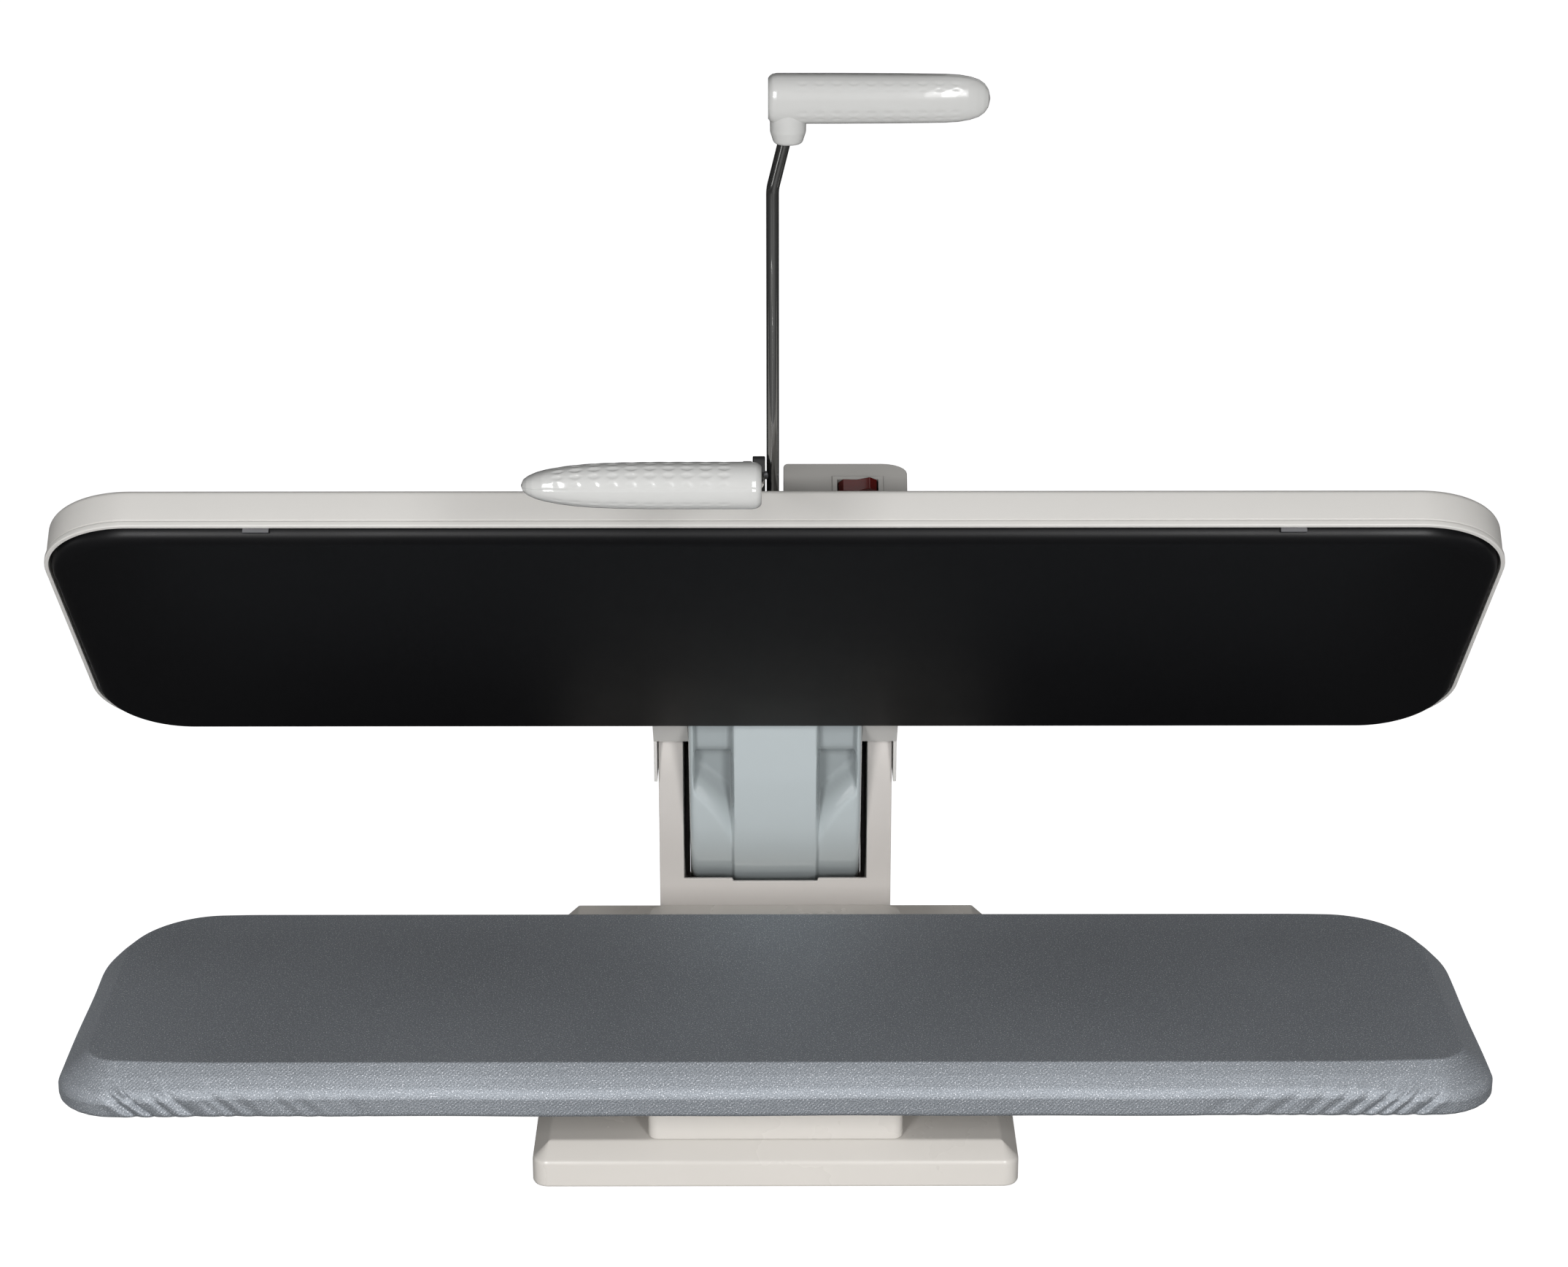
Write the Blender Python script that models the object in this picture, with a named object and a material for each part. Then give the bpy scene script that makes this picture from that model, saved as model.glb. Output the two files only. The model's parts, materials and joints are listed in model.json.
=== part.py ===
"""Ironing press: a padded board on a base, and a heated head that swings down onto it.

Lengths are in metres and +Z is up. The origin is on the floor, under the middle of the part.
Reach is the distance in front of the main hinge's axis, towards the user, who stands at -Y.
Pieces of the head are drawn as they lie when it is shut, with heights above the board's top.
"""

import math

import bmesh
import bpy
from mathutils import Vector

# Clearances
SEAT_GAP = 0.0003
RUNNING_GAP = 0.0008
OVERRUN = 0.006

# Board
BOARD_WIDTH = 1.022
BOARD_DEPTH = 0.285
BOARD_TOP = 0.130
BOARD_THICKNESS = 0.036
BOARD_CORNER = 0.085
BOARD_FRONT_CORNER = 0.045
BOARD_REACH = 0.4646
COVER_CLOTH = 0.0012
COVER_TOP_ROUNDING = 0.014
COVER_LOW_ROUNDING = 0.007
COVER_HEM = 0.028
COVER_CROWN = 0.0015
PAN_SHEET = 0.0015
PAN_RIM = 0.008
PAN_INSET = 0.010

# Main hinge
HINGE_RISE = 0.0694
OPEN_ANGLE = math.radians(46.6)
SHAFT_RADIUS = 0.008
BUSH_WALL = 0.003
BUSH_FLANGE = 0.0015
BUSH_LENGTH = 0.014

# Base
BASE_WIDTH = 0.355
BASE_FRONT_INSET = 0.0648
BASE_BACK_REACH = 0.038
BASE_CORNER = 0.012
BASE_FACE = 0.020
BASE_SLOPE_IN = 0.013
BASE_SLOPE_UP = 0.012
BASE_WALL = 0.003
BASE_EDGE = 0.002
FOOT_HEIGHT = 0.003
FOOT_RADIUS = 0.012
FOOT_INSET = 0.030
BASE_SHEET = 0.002
PEDESTAL_WIDTH = 0.186
PEDESTAL_WALL = 0.003
PEDESTAL_CORNER = 0.008
PEDESTAL_FLARE = 0.007
BOARD_BAR_HEIGHT = 0.005
BOARD_BAR_WIDTH = 0.150
BOARD_BAR_DEPTH = 0.165

# Column
COLUMN_WIDTH = 0.1850
COLUMN_RADIUS = 0.0953
COLUMN_SLOT = 0.1462
COLUMN_SKIN = 0.0025
COLUMN_FRONT_WALL = 0.003
BEAM_DROP = 0.0864
NOTCH_WIDTH = 0.0672
NOTCH_DEPTH = 0.0025
NOTCH_SLANT = 0.003
BACK_COVER_SHEET = 0.0025
FRAME_PLATE = 0.004
FRAME_HALF_DEPTH = 0.060
FRAME_EYE = 0.022
STOP_BAR_RADIUS = 0.006
STOP_SLEEVE_WALL = 0.003

# Arm between the hinge and the head
ARM_WIDTH = 0.1355
ARM_RADIUS = 0.1185
ARM_WALL = 0.003
ARM_EYE = 0.030
ARM_EDGE = 0.004
ARM_REACH = 0.158
ARM_TOP_RISE = 0.0424
TONGUE_WIDTH = 0.0662
TONGUE_PROUD = 0.003
TONGUE_SIDE = 0.0011
ARM_BACK_ANGLE = math.radians(-118)
ARM_LEAVE_ANGLE = math.radians(-60)
POCKET_START_ANGLE = math.radians(-74)
POCKET_GROWTH_SHARE = 0.32
POCKET_SLOPE_SHARE = 0.40
SPINE_SHEET = 0.003
SPINE_BACK_REACH = 0.082
SPINE_FRONT_REACH = 0.380

# Head
SOLE_WIDTH = 1.020
SOLE_BACK_REACH = 0.1555
SOLE_FRONT_REACH = 0.4655
SOLE_CORNER = 0.064
SOLE_THICKNESS = 0.013
SOLE_ROUNDING = 0.011
CASING_SIDE_MARGIN = 0.005
CASING_FRONT_MARGIN = 0.0055
CASING_BACK_MARGIN = 0.005
CASING_CORNER = 0.068
CASING_WALL = 0.002
RIM_LOW = 0.008
RIM_HIGH = 0.036
RIM_EDGE = 0.004
LIP_HEIGHT = 0.004
LIP_PROUD = 0.001
PLATEAU_RISE = 0.050
PLATEAU_INSET = 0.030
SHIELD_INSET = 0.012
SHIELD_SHEET = 0.0012
SHIELD_RISE = 0.033
ELEMENT_RADIUS = 0.004
ELEMENT_INSET = 0.045
ELEMENT_GAP = 0.060
MAT_THICKNESS = 0.009
CLIP_PLACE = 0.358
CLIP_WIDTH = 0.018
CLIP_SHEET = 0.0012
CLIP_DROP = 0.0085
CLIP_FOOT = 0.010
SCREW_RADIUS = 0.0023
SCREW_HEAD = 0.0012

# Hood over the hinge
HOOD_RADIUS = 0.101
HOOD_SHELL = 0.003
HOOD_CHEEK = 0.0025
HOOD_LIP_ANGLE = math.radians(-27.8)
HOOD_LIP_RADIUS = 0.110
HOOD_FLANGE_ANGLE = math.radians(-46.6)
HOOD_ROOF_ANGLE = math.radians(50)
HOOD_BACK_ANGLE = math.radians(140)
HOOD_ROOF_REACH = 0.195

# Control box and its switch
BOX_LEFT = 0.006
BOX_WIDTH = 0.0875
BOX_FRONT_REACH = 0.430
BOX_DEPTH = 0.090
BOX_RISE = 0.0805
BOX_WALL = 0.0025
BOX_LEFT_ROUNDING = 0.003
BOX_RIGHT_ROUNDING_X = 0.018
BOX_RIGHT_ROUNDING_Z = 0.008
SWITCH_PLACE = 0.0585
SWITCH_DROP = 0.0185
BEZEL_WIDTH = 0.036
BEZEL_HEIGHT = 0.0150
BEZEL_PROUD = 0.0015
BEZEL_FRAME = 0.0035
BEZEL_DEPTH = 0.012
ROCKER_PEAK = 0.0045
ROCKER_VALLEY = 0.0022
ROCKER_BODY = 0.006
ROCKER_TILT = math.radians(9)

# Levers
PIVOT_INSET = 0.071
PIVOT_RISE = 0.088
PIVOT_PIN_RADIUS = 0.003
LEVER_MIRROR_PLACE = -0.0065
ROD_OFFSET = 0.0050
ROD_RADIUS = 0.0045
ROD_TAIL = 0.016
ROD_STRAIGHT = 0.208
ROD_BEND = 0.0108
ROD_END = 0.262
BOSS_RADIUS = 0.0125
BOSS_LOW = 0.2364
GRIP_DISTANCE = 0.272
GRIP_START = 0.0020
GRIP_LENGTH = 0.1535
GRIP_HALF_HEIGHT = 0.0173
GRIP_HALF_THICKNESS = 0.0151
GRIP_SEAM = 0.0023
RIGHT_LEVER_ANGLE = math.radians(46.6)
LEFT_LEVER_ANGLE = math.radians(120.8)
HUB_RADIUS = 0.0136
HUB_WIDTH = 0.009
EAR_THICKNESS = 0.006
EAR_RADIUS = 0.010
EAR_FOOT = 0.026
EAR_FOOT_SHEET = 0.003

# Lift spring around the shaft
SPRING_WIRE = 0.003
SPRING_RADIUS = 0.020
SPRING_TURNS = 8
SPRING_PITCH = 0.0095
SPRING_LEG_GAP = 0.0006

# Electrical pieces in the base
GLAND_RADIUS = 0.0065
GLAND_LENGTH = 0.022
GLAND_BORE = 0.0038
GLAND_PLACE = 0.110
TERMINAL_LENGTH = 0.050
TERMINAL_DEPTH = 0.020
TERMINAL_HEIGHT = 0.014

# Counts of flat sides
CORNER_STEPS = 6
EDGE_STEPS = 4
ROUND_SIDES = 24
SMALL_SIDES = 12

# Smaller sizes
LEAST_CORNER = 0.0008
SHARP_ANGLE = math.radians(35)
PEDESTAL_LIP = 0.0015
BOARD_BAR_INSET = 0.010
FOOT_EDGE = 0.001
GLAND_PROUD = 0.006
GLAND_COLLAR = 0.0025
TERMINAL_REACH = 0.010
FRAME_LUG = 0.012
FRAME_BOLT_PLACE = 0.050
FRAME_BOLT_RADIUS = 0.006
FRAME_BOLT_HEAD = 0.005
SHAFT_END = 0.004
CLIP_RING = 0.0012
CLIP_RING_WALL = 0.0045
STOP_ALONG = 0.055
VENT_LOW = 0.030
VENT_PITCH = 0.014
VENT_HALF_LENGTH = 0.045
VENT_HEIGHT = 0.004
ARM_EYE_START_ANGLE = math.radians(-150)
ARM_SIDE_LAND = 0.0035
POCKET_DEPTH = 0.0125
BUSH_COLLAR = 0.004
ARM_PASS = 0.0006
SPINE_SCREW_REACHES = (0.190, 0.340)
THERMOSTAT_PLACE = -0.200
THERMOSTAT_REACH = 0.314
THERMOSTAT_RADIUS = 0.012
THERMOSTAT_HEIGHT = 0.016
SPACER_PLACE = 0.380
SPACER_REACH = 0.215
SPACER_RADIUS = 0.005
HOOD_CASING_GAP = 0.002
HOOD_PASS_RISE = 0.006
HOOD_CHEEK_RADIUS = 0.050
HOOD_CUT_ANGLE = math.radians(8)
ROCKER_END = 0.0042
ROCKER_AXIS_DEPTH = 0.0020
PIN_SHORT = 0.0006
PIN_HEAD = 0.002
HUB_SOCKET = 0.0139

# Counts
BOLT_SIDES = 6
VENT_ROWS = 6
SPRING_POINTS = 8
ARM_ARC_STEPS = 9
ARM_STRAIGHT_STEPS = 4
POCKET_STEPS = 4
HOOD_ARC_STEPS = 12
GRIP_SIDES = 20

# Shares of the sizes that they follow
EDGE_SHARE = 0.4
BEZEL_SLIM_SHARE = 0.75
ROD_EASE_SHARE = 0.35
BEND_SHARE = 0.45
CROWN_PLACE_SHARES = (0.3, 0.65, 0.92)
GRIP_SQUARE_SHARE = 0.86
GRIP_OUTLINE_SHARES = (
    (0.0, 0.72),
    (0.012, 0.88),
    (0.035, 0.97),
    (0.08, 1.0),
    (0.45, 1.0),
    (0.70, 0.95),
    (0.85, 0.86),
    (0.93, 0.74),
    (0.975, 0.55),
    (1.0, 0.25),
)
BOSS_FOOT_SHARES = ((0.5, 0.0), (0.78, 0.12), (0.94, 0.36), (1.0, 0.7))

# Heights and places that follow from the sizes above
HINGE_HEIGHT = BOARD_TOP + HINGE_RISE
BASE_BOTTOM = FOOT_HEIGHT
BASE_TOP = BASE_BOTTOM + BASE_FACE + BASE_SLOPE_UP
BOARD_BOTTOM = BOARD_TOP - BOARD_THICKNESS
BEAM_TOP = HINGE_HEIGHT - BEAM_DROP
CASING_WIDTH = SOLE_WIDTH + 2 * CASING_SIDE_MARGIN
CASING_FRONT = SOLE_FRONT_REACH + CASING_FRONT_MARGIN
CASING_BACK = SOLE_BACK_REACH - CASING_BACK_MARGIN
BASE_FRONT_REACH = BOARD_REACH - BASE_FRONT_INSET
PEDESTAL_FRONT = BASE_FRONT_REACH - BASE_SLOPE_IN
PIVOT_REACH = CASING_FRONT - PIVOT_INSET


def front_of_grip():
    """Reach of the foremost point of the lowered grip, with the head open."""
    swing = LEFT_LEVER_ANGLE - OPEN_ANGLE
    pivot = PIVOT_REACH * math.cos(OPEN_ANGLE) - (PIVOT_RISE - HINGE_RISE) * math.sin(OPEN_ANGLE)
    along = GRIP_HALF_HEIGHT * math.sin(swing)
    across = GRIP_HALF_THICKNESS * math.cos(swing)
    return pivot + GRIP_DISTANCE * math.sin(swing) + math.hypot(along, across)


HINGE_PLACE = (front_of_grip() - HOOD_RADIUS) / 2


def spread(start, stop, steps):
    """Evenly spaced values from start to stop, both included."""
    return [start + (stop - start) * step / steps for step in range(steps + 1)]


def polar(radius, angle, centre=(0, 0)):
    """Reach and height of a point on a circle, with the angle measured up from straight ahead."""
    return (centre[0] + radius * math.cos(angle), centre[1] + radius * math.sin(angle))


def clear_scene():
    for obj in list(bpy.data.objects):
        bpy.data.objects.remove(obj)


def paint(name, colour, roughness, metallic=0.0):
    material = bpy.data.materials.new(name)
    material.use_nodes = True
    shader = material.node_tree.nodes["Principled BSDF"]
    shader.inputs["Base Color"].default_value = (*colour, 1.0)
    shader.inputs["Roughness"].default_value = roughness
    shader.inputs["Metallic"].default_value = metallic
    return material


class Frame:
    """Where a group of pieces is drawn: the object that carries it, and its own offset from it."""

    def __init__(self, parent=None, offset=(0, 0, 0)):
        self.parent = parent
        self.offset = offset


def empty(name, parent, location, turn_x=0.0, turn_z=0.0):
    """An empty on a joint's axis, which carries what turns there."""
    obj = bpy.data.objects.new(name, None)
    obj.location = location
    obj.rotation_euler = (turn_x, 0, turn_z)
    obj.parent = parent
    bpy.context.collection.objects.link(obj)
    return obj


def put(name, mesh, material, frame):
    """Places a mesh in the scene as an object of that frame."""
    mesh.materials.append(material)
    mesh.shade_smooth()
    mesh.set_sharp_from_angle(angle=SHARP_ANGLE)
    obj = bpy.data.objects.new(name, mesh)
    obj.parent = frame.parent
    obj.location = frame.offset
    bpy.context.collection.objects.link(obj)
    return obj


def add_rings(bm, rings, closed=False):
    """Adds a body whose skin runs through the rings, with flat ends or closed on itself."""
    loops = [[bm.verts.new(place) for place in ring] for ring in rings]
    pairs = list(zip(loops, loops[1:]))
    if closed:
        pairs.append((loops[-1], loops[0]))
    for near, far in pairs:
        for here in range(len(near)):
            after = (here + 1) % len(near)
            bm.faces.new((near[here], near[after], far[after], far[here]))
    if not closed:
        bm.faces.new(loops[0])
        bm.faces.new(loops[-1])


def body(name, rings, material, frame, closed=False):
    """One object whose skin runs through the rings."""
    bm = bmesh.new()
    add_rings(bm, rings, closed)
    bmesh.ops.recalc_face_normals(bm, faces=bm.faces)
    mesh = bpy.data.meshes.new(name)
    bm.to_mesh(mesh)
    bm.free()
    return put(name, mesh, material, frame)


def at(x, reach, height):
    return Vector((x, -reach, height))


def plan_ring(half_width, front, back, corners, height):
    """A level ring round a rectangle, with its own round corners at the front and the back."""
    ring = []
    quarters = ((1, 1), (-1, 1), (-1, -1), (1, -1))
    for turn, (side, end) in enumerate(quarters):
        corner = corners[0] if end > 0 else corners[1]
        middle_x = side * (half_width - corner)
        middle_reach = front - corner if end > 0 else back + corner
        for angle in spread(turn * math.pi / 2, (turn + 1) * math.pi / 2, CORNER_STEPS):
            x = middle_x + corner * math.cos(angle)
            ring.append(at(x, middle_reach + corner * math.sin(angle), height))
    return ring


def layers(size, steps):
    """Rings of a layered body: each step is how far its outline is drawn in, and its height."""
    half_width, front, back, *corners = size
    rings = []
    for inset, height in steps:
        rounds = (max(corners[0] - inset, LEAST_CORNER), max(corners[-1] - inset, LEAST_CORNER))
        rings.append(plan_ring(half_width - inset, front - inset, back + inset, rounds, height))
    return rings


def extrusion(outline, left, right):
    """Rings of a side outline, given as reach and height, drawn out from left to right."""
    return [[at(x, reach, height) for reach, height in outline] for x in (left, right)]


def block(left, right, front, back, low, high):
    outline = [(front, low), (front, high), (back, high), (back, low)]
    return extrusion(outline, left, right)


def turned(centre, axis, profile, sides):
    """Rings of a body turned about X, Y or Z, from its radius and its place along that axis."""
    rings = []
    for radius, along in profile:
        ring = []
        for side in range(sides):
            angle = 2 * math.pi * side / sides
            across = (radius * math.cos(angle), radius * math.sin(angle))
            offset = {
                "X": (along, across[0], across[1]),
                "Y": (across[0], along, across[1]),
                "Z": (across[0], across[1], along),
            }[axis]
            ring.append(Vector(centre) + Vector(offset))
        rings.append(ring)
    return rings


def rod(name, places, radius, material, frame, sides=1):
    """A round bar along the places, with closed ends."""
    curve = bpy.data.curves.new(name, "CURVE")
    curve.dimensions = "3D"
    curve.bevel_depth = radius
    curve.bevel_resolution = sides
    curve.use_fill_caps = True
    spline = curve.splines.new("POLY")
    spline.points.add(len(places) - 1)
    for point, place in zip(spline.points, places):
        point.co = (*place, 1.0)
    curve.materials.append(material)
    obj = bpy.data.objects.new(name, curve)
    obj.parent = frame.parent
    obj.location = frame.offset
    bpy.context.collection.objects.link(obj)
    return obj


def copies(name, rings, places, material, frame):
    """Identical pieces on one shared mesh, numbered from 1."""
    first = body(f"{name}_1", rings, material, frame)
    first.location = Vector(frame.offset) + places[0]
    for number, place in enumerate(places[1:], 2):
        obj = bpy.data.objects.new(f"{name}_{number}", first.data)
        obj.parent = frame.parent
        obj.location = Vector(frame.offset) + place
        bpy.context.collection.objects.link(obj)


def tool(name, rings, frame):
    """A helper body that cuts or joins, and isn't a piece itself."""
    obj = body(name, rings, bpy.data.materials["helper"], frame)
    obj.hide_render = True
    obj.display_type = "WIRE"
    return obj


def combine(obj, helper, operation="DIFFERENCE"):
    modifier = obj.modifiers.new(helper.name, "BOOLEAN")
    modifier.operation = operation
    modifier.solver = "EXACT"
    modifier.object = helper


def edge_arc(inset, height, radius, start, stop, steps):
    """Inset and height of points round an edge, from its side at 0 to its top at a right angle."""
    return [
        (inset - radius * math.cos(angle), height + radius * math.sin(angle))
        for angle in spread(start, stop, steps)
    ]


def board_size():
    return (BOARD_WIDTH / 2, BOARD_REACH, BOARD_REACH - BOARD_DEPTH, BOARD_FRONT_CORNER, BOARD_CORNER)


def crown(skin):
    """The slow rise of the board's top, at a depth inside the cover."""
    steps = []
    for share in CROWN_PLACE_SHARES:
        inset = COVER_TOP_ROUNDING + share * (BOARD_DEPTH / 2 - COVER_TOP_ROUNDING)
        steps.append((inset, BOARD_TOP - skin - COVER_CROWN * (1 - share) ** 2))
    return steps


def cushion_edge(skin):
    """The board's side and its rounded top edge, at a depth inside the cover."""
    middle = BOARD_TOP - COVER_CROWN - COVER_TOP_ROUNDING
    arc = edge_arc(COVER_TOP_ROUNDING, middle, COVER_TOP_ROUNDING - skin, 0, math.pi / 2, EDGE_STEPS)
    return arc + crown(skin)


def cover_side(skin):
    """The cover from its hem to its crown, at a depth inside its skin."""
    middle = BOARD_BOTTOM + COVER_LOW_ROUNDING
    bend = edge_arc(COVER_LOW_ROUNDING, middle, COVER_LOW_ROUNDING - skin, -math.pi / 2, 0, EDGE_STEPS)
    return [(COVER_HEM, BOARD_BOTTOM + skin)] + bend + cushion_edge(skin)


def pan_low():
    """Height of the pan's underside, which rests on the cover's hem."""
    return BOARD_BOTTOM + COVER_CLOTH + SEAT_GAP


def make_board_cover(stand, paints):
    steps = list(reversed(cover_side(COVER_CLOTH))) + cover_side(0)
    body("board_cover", layers(board_size(), steps), paints["cloth"], stand)


def make_board_pan(stand, paints):
    low = pan_low()
    high = low + PAN_RIM
    inside = PAN_INSET + PAN_SHEET
    steps = [(inside, low + PAN_SHEET), (inside, high), (PAN_INSET, high), (PAN_INSET, low)]
    body("board_pan", layers(board_size(), steps), paints["aluminium"], stand)


def make_foam_pad(stand, paints):
    low = pan_low()
    rim = low + PAN_RIM + SEAT_GAP
    bed = PAN_INSET + PAN_SHEET + SEAT_GAP
    steps = [(bed, low + PAN_SHEET + SEAT_GAP), (bed, rim), (COVER_CLOTH + SEAT_GAP, rim)]
    steps += cushion_edge(COVER_CLOTH + SEAT_GAP)
    body("foam_pad", layers(board_size(), steps), paints["foam"], stand)


def make_board_bar(stand, paints):
    """The bar that ties the pan to the pedestal."""
    top = pan_low() - SEAT_GAP
    front = PEDESTAL_FRONT - BOARD_BAR_INSET
    half = BOARD_BAR_WIDTH / 2
    bar = block(-half, half, front, front - BOARD_BAR_DEPTH, top - BOARD_BAR_HEIGHT, top)
    body("board_bar", bar, paints["steel"], stand)


def base_ring(inset, tail_inset, height):
    """A level ring round the base: its wide front, and the tail that stands under the column."""
    half = BASE_WIDTH / 2 - inset
    back = inset - BASE_BACK_REACH
    corner = max(BASE_CORNER - inset, LEAST_CORNER)
    ring = plan_ring(half, BASE_FRONT_REACH - inset, back, (corner, corner), height)
    tail = COLUMN_WIDTH / 2 - tail_inset
    end = tail_inset - COLUMN_RADIUS
    turn = 3 * (CORNER_STEPS + 1)
    corners = ((-tail, back), (-tail, end), (tail, end), (tail, back))
    places = [at(x, reach, height) for x, reach in corners]
    return ring[:turn] + places + ring[turn:]


def make_base_shell(stand, paints):
    face_top = BASE_BOTTOM + BASE_FACE
    outer = [(0, BASE_BOTTOM), (0, face_top - BASE_EDGE), (BASE_EDGE / 2, face_top)]
    outer += [(BASE_SLOPE_IN - BASE_EDGE, BASE_TOP - BASE_EDGE / 2), (BASE_SLOPE_IN, BASE_TOP)]
    inner = [(BASE_SLOPE_IN + BASE_WALL / 2, BASE_TOP - BASE_WALL)]
    inner += [(BASE_WALL, face_top - BASE_WALL / 2), (BASE_WALL, BASE_BOTTOM)]
    rings = [base_ring(inset, BASE_WALL, height) for inset, height in inner]
    rings += [base_ring(inset, 0, height) for inset, height in outer]
    shell = body("base_shell", rings, paints["base"], stand)
    hole = [(GLAND_RADIUS + SEAT_GAP, -BASE_WALL - OVERRUN), (GLAND_RADIUS + SEAT_GAP, OVERRUN)]
    combine(shell, tool("gland_hole", turned(gland_place(), "Y", hole, ROUND_SIDES), stand))


def gland_place():
    return at(GLAND_PLACE, -BASE_BACK_REACH, BASE_BOTTOM + BASE_FACE / 2)


def make_cord_gland(stand, paints):
    collar = GLAND_RADIUS + GLAND_COLLAR
    inner_end = GLAND_PROUD - GLAND_LENGTH
    profile = [(GLAND_BORE, inner_end), (GLAND_RADIUS, inner_end), (GLAND_RADIUS, SEAT_GAP)]
    profile += [(collar, SEAT_GAP), (collar, GLAND_PROUD), (GLAND_BORE, GLAND_PROUD)]
    rings = turned(gland_place(), "Y", profile, ROUND_SIDES)
    body("cord_gland", rings, paints["black"], stand, closed=True)


def make_base_plate(stand, paints):
    sheet = BASE_WALL + SEAT_GAP
    rings = [base_ring(sheet, sheet, height) for height in (BASE_BOTTOM, BASE_BOTTOM + BASE_SHEET)]
    body("base_plate", rings, paints["steel"], stand)


def make_feet(stand, paints):
    places = []
    for x in (FOOT_INSET - BASE_WIDTH / 2, BASE_WIDTH / 2 - FOOT_INSET):
        for reach in (BASE_FRONT_REACH - FOOT_INSET, FOOT_INSET - BASE_BACK_REACH):
            places.append(at(x, reach, 0))
    profile = [(FOOT_RADIUS - FOOT_EDGE, 0), (FOOT_RADIUS, FOOT_EDGE)]
    profile.append((FOOT_RADIUS, FOOT_HEIGHT - SEAT_GAP))
    copies("rubber_foot", turned(at(0, 0, 0), "Z", profile, SMALL_SIDES), places, paints["rubber"], stand)


def make_terminal_block(stand, paints):
    floor = BASE_BOTTOM + BASE_SHEET + SEAT_GAP
    left = GLAND_PLACE - TERMINAL_LENGTH / 2
    front = TERMINAL_REACH + TERMINAL_DEPTH / 2
    rings = block(
        left, left + TERMINAL_LENGTH, front, front - TERMINAL_DEPTH, floor, floor + TERMINAL_HEIGHT
    )
    body("terminal_block", rings, paints["cream"], stand)


def make_pedestal(stand, paints):
    bottom = BASE_TOP + SEAT_GAP
    top = BOARD_BOTTOM + COVER_CLOTH - BOARD_BAR_HEIGHT - SEAT_GAP
    back = COLUMN_RADIUS + PEDESTAL_FLARE + SEAT_GAP
    size = (PEDESTAL_WIDTH / 2, PEDESTAL_FRONT, back, PEDESTAL_CORNER)
    waist = top - PEDESTAL_LIP - PEDESTAL_FLARE
    outer = [(0, bottom)]
    for angle in spread(0, math.pi / 2, EDGE_STEPS):
        reach, height = polar(PEDESTAL_FLARE, angle, (-PEDESTAL_FLARE, waist))
        outer.append((reach, height))
    outer.append((-PEDESTAL_FLARE, top))
    inner = [(PEDESTAL_WALL, top - PEDESTAL_WALL), (PEDESTAL_WALL, bottom)]
    body("pedestal", layers(size, inner + outer), paints["base"], stand)


def column_outline(inset, bottom):
    """Side view of the column: straight front and back, and a round top about the hinge."""
    radius = COLUMN_RADIUS - inset
    outline = [(radius, bottom)]
    outline += [polar(radius, angle, (0, HINGE_HEIGHT)) for angle in spread(0, math.pi, ROUND_SIDES)]
    outline.append((-radius, bottom))
    return outline


def stop_bar_place():
    """Reach and height of the bar on which the open arm's top edges rest."""
    end = (ARM_REACH, ARM_TOP_RISE - HINGE_RISE)
    touch = math.atan2(end[1], end[0]) + math.acos(ARM_EYE / math.hypot(*end)) + OPEN_ANGLE
    off = ARM_EYE + STOP_BAR_RADIUS + STOP_SLEEVE_WALL + SEAT_GAP
    reach = off * math.cos(touch) + STOP_ALONG * math.cos(touch - math.pi / 2)
    rise = off * math.sin(touch) + STOP_ALONG * math.sin(touch - math.pi / 2)
    return reach, HINGE_HEIGHT + rise


def crosswise(name, reach, height, radius, half_length, stand):
    """A helper round bar across the column."""
    profile = [(radius, -half_length), (radius, half_length)]
    return tool(name, turned(at(0, reach, height), "X", profile, ROUND_SIDES), stand)


def column_skin():
    """Distance from the middle to the outer side of the column's inner skins."""
    return COLUMN_SLOT / 2 + COLUMN_SKIN


def frame_outer():
    """Distance from the middle to the outer side of the hinge frame's plates."""
    return column_skin() + SEAT_GAP + FRAME_PLATE


def cut_column_slot(column, stand, bottom):
    """The slot in which the arm swings, open above the front beam."""
    slot = COLUMN_SLOT / 2
    inside = COLUMN_RADIUS - COLUMN_FRONT_WALL
    outside = COLUMN_RADIUS + OVERRUN
    above = HINGE_HEIGHT + outside
    outline = [(-outside, bottom - OVERRUN), (inside, bottom - OVERRUN), (inside, BEAM_TOP)]
    outline += [(outside, BEAM_TOP), (outside, above), (-outside, above)]
    combine(column, tool("column_slot", extrusion(outline, -slot, slot), stand))


def cut_cheek_pockets(column, stand, bottom):
    for side in (-1, 1):
        outline = column_outline(COLUMN_SKIN, bottom - OVERRUN)
        far = side * (COLUMN_WIDTH / 2 - COLUMN_SKIN)
        pocket = extrusion(outline, side * column_skin(), far)
        combine(column, tool(f"cheek_pocket_{side + 1}", pocket, stand))


def cut_frame_space(column, stand, bottom):
    half = frame_outer() + SEAT_GAP
    reach = FRAME_HALF_DEPTH + SEAT_GAP
    space = block(-half, half, reach, -reach, bottom - OVERRUN, bottom + FRAME_PLATE + SEAT_GAP)
    combine(column, tool("frame_space", space, stand))


def cut_beam_notch(column, stand):
    half = NOTCH_WIDTH / 2
    low = BEAM_TOP - NOTCH_DEPTH
    high = BEAM_TOP + OVERRUN
    notch = []
    for reach in (COLUMN_RADIUS + OVERRUN, COLUMN_RADIUS - COLUMN_FRONT_WALL - OVERRUN):
        places = [at(-half, reach, low), at(half, reach, low)]
        places += [at(half + NOTCH_SLANT, reach, high), at(-half - NOTCH_SLANT, reach, high)]
        notch.append(places)
    combine(column, tool("beam_notch", notch, stand))


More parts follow.
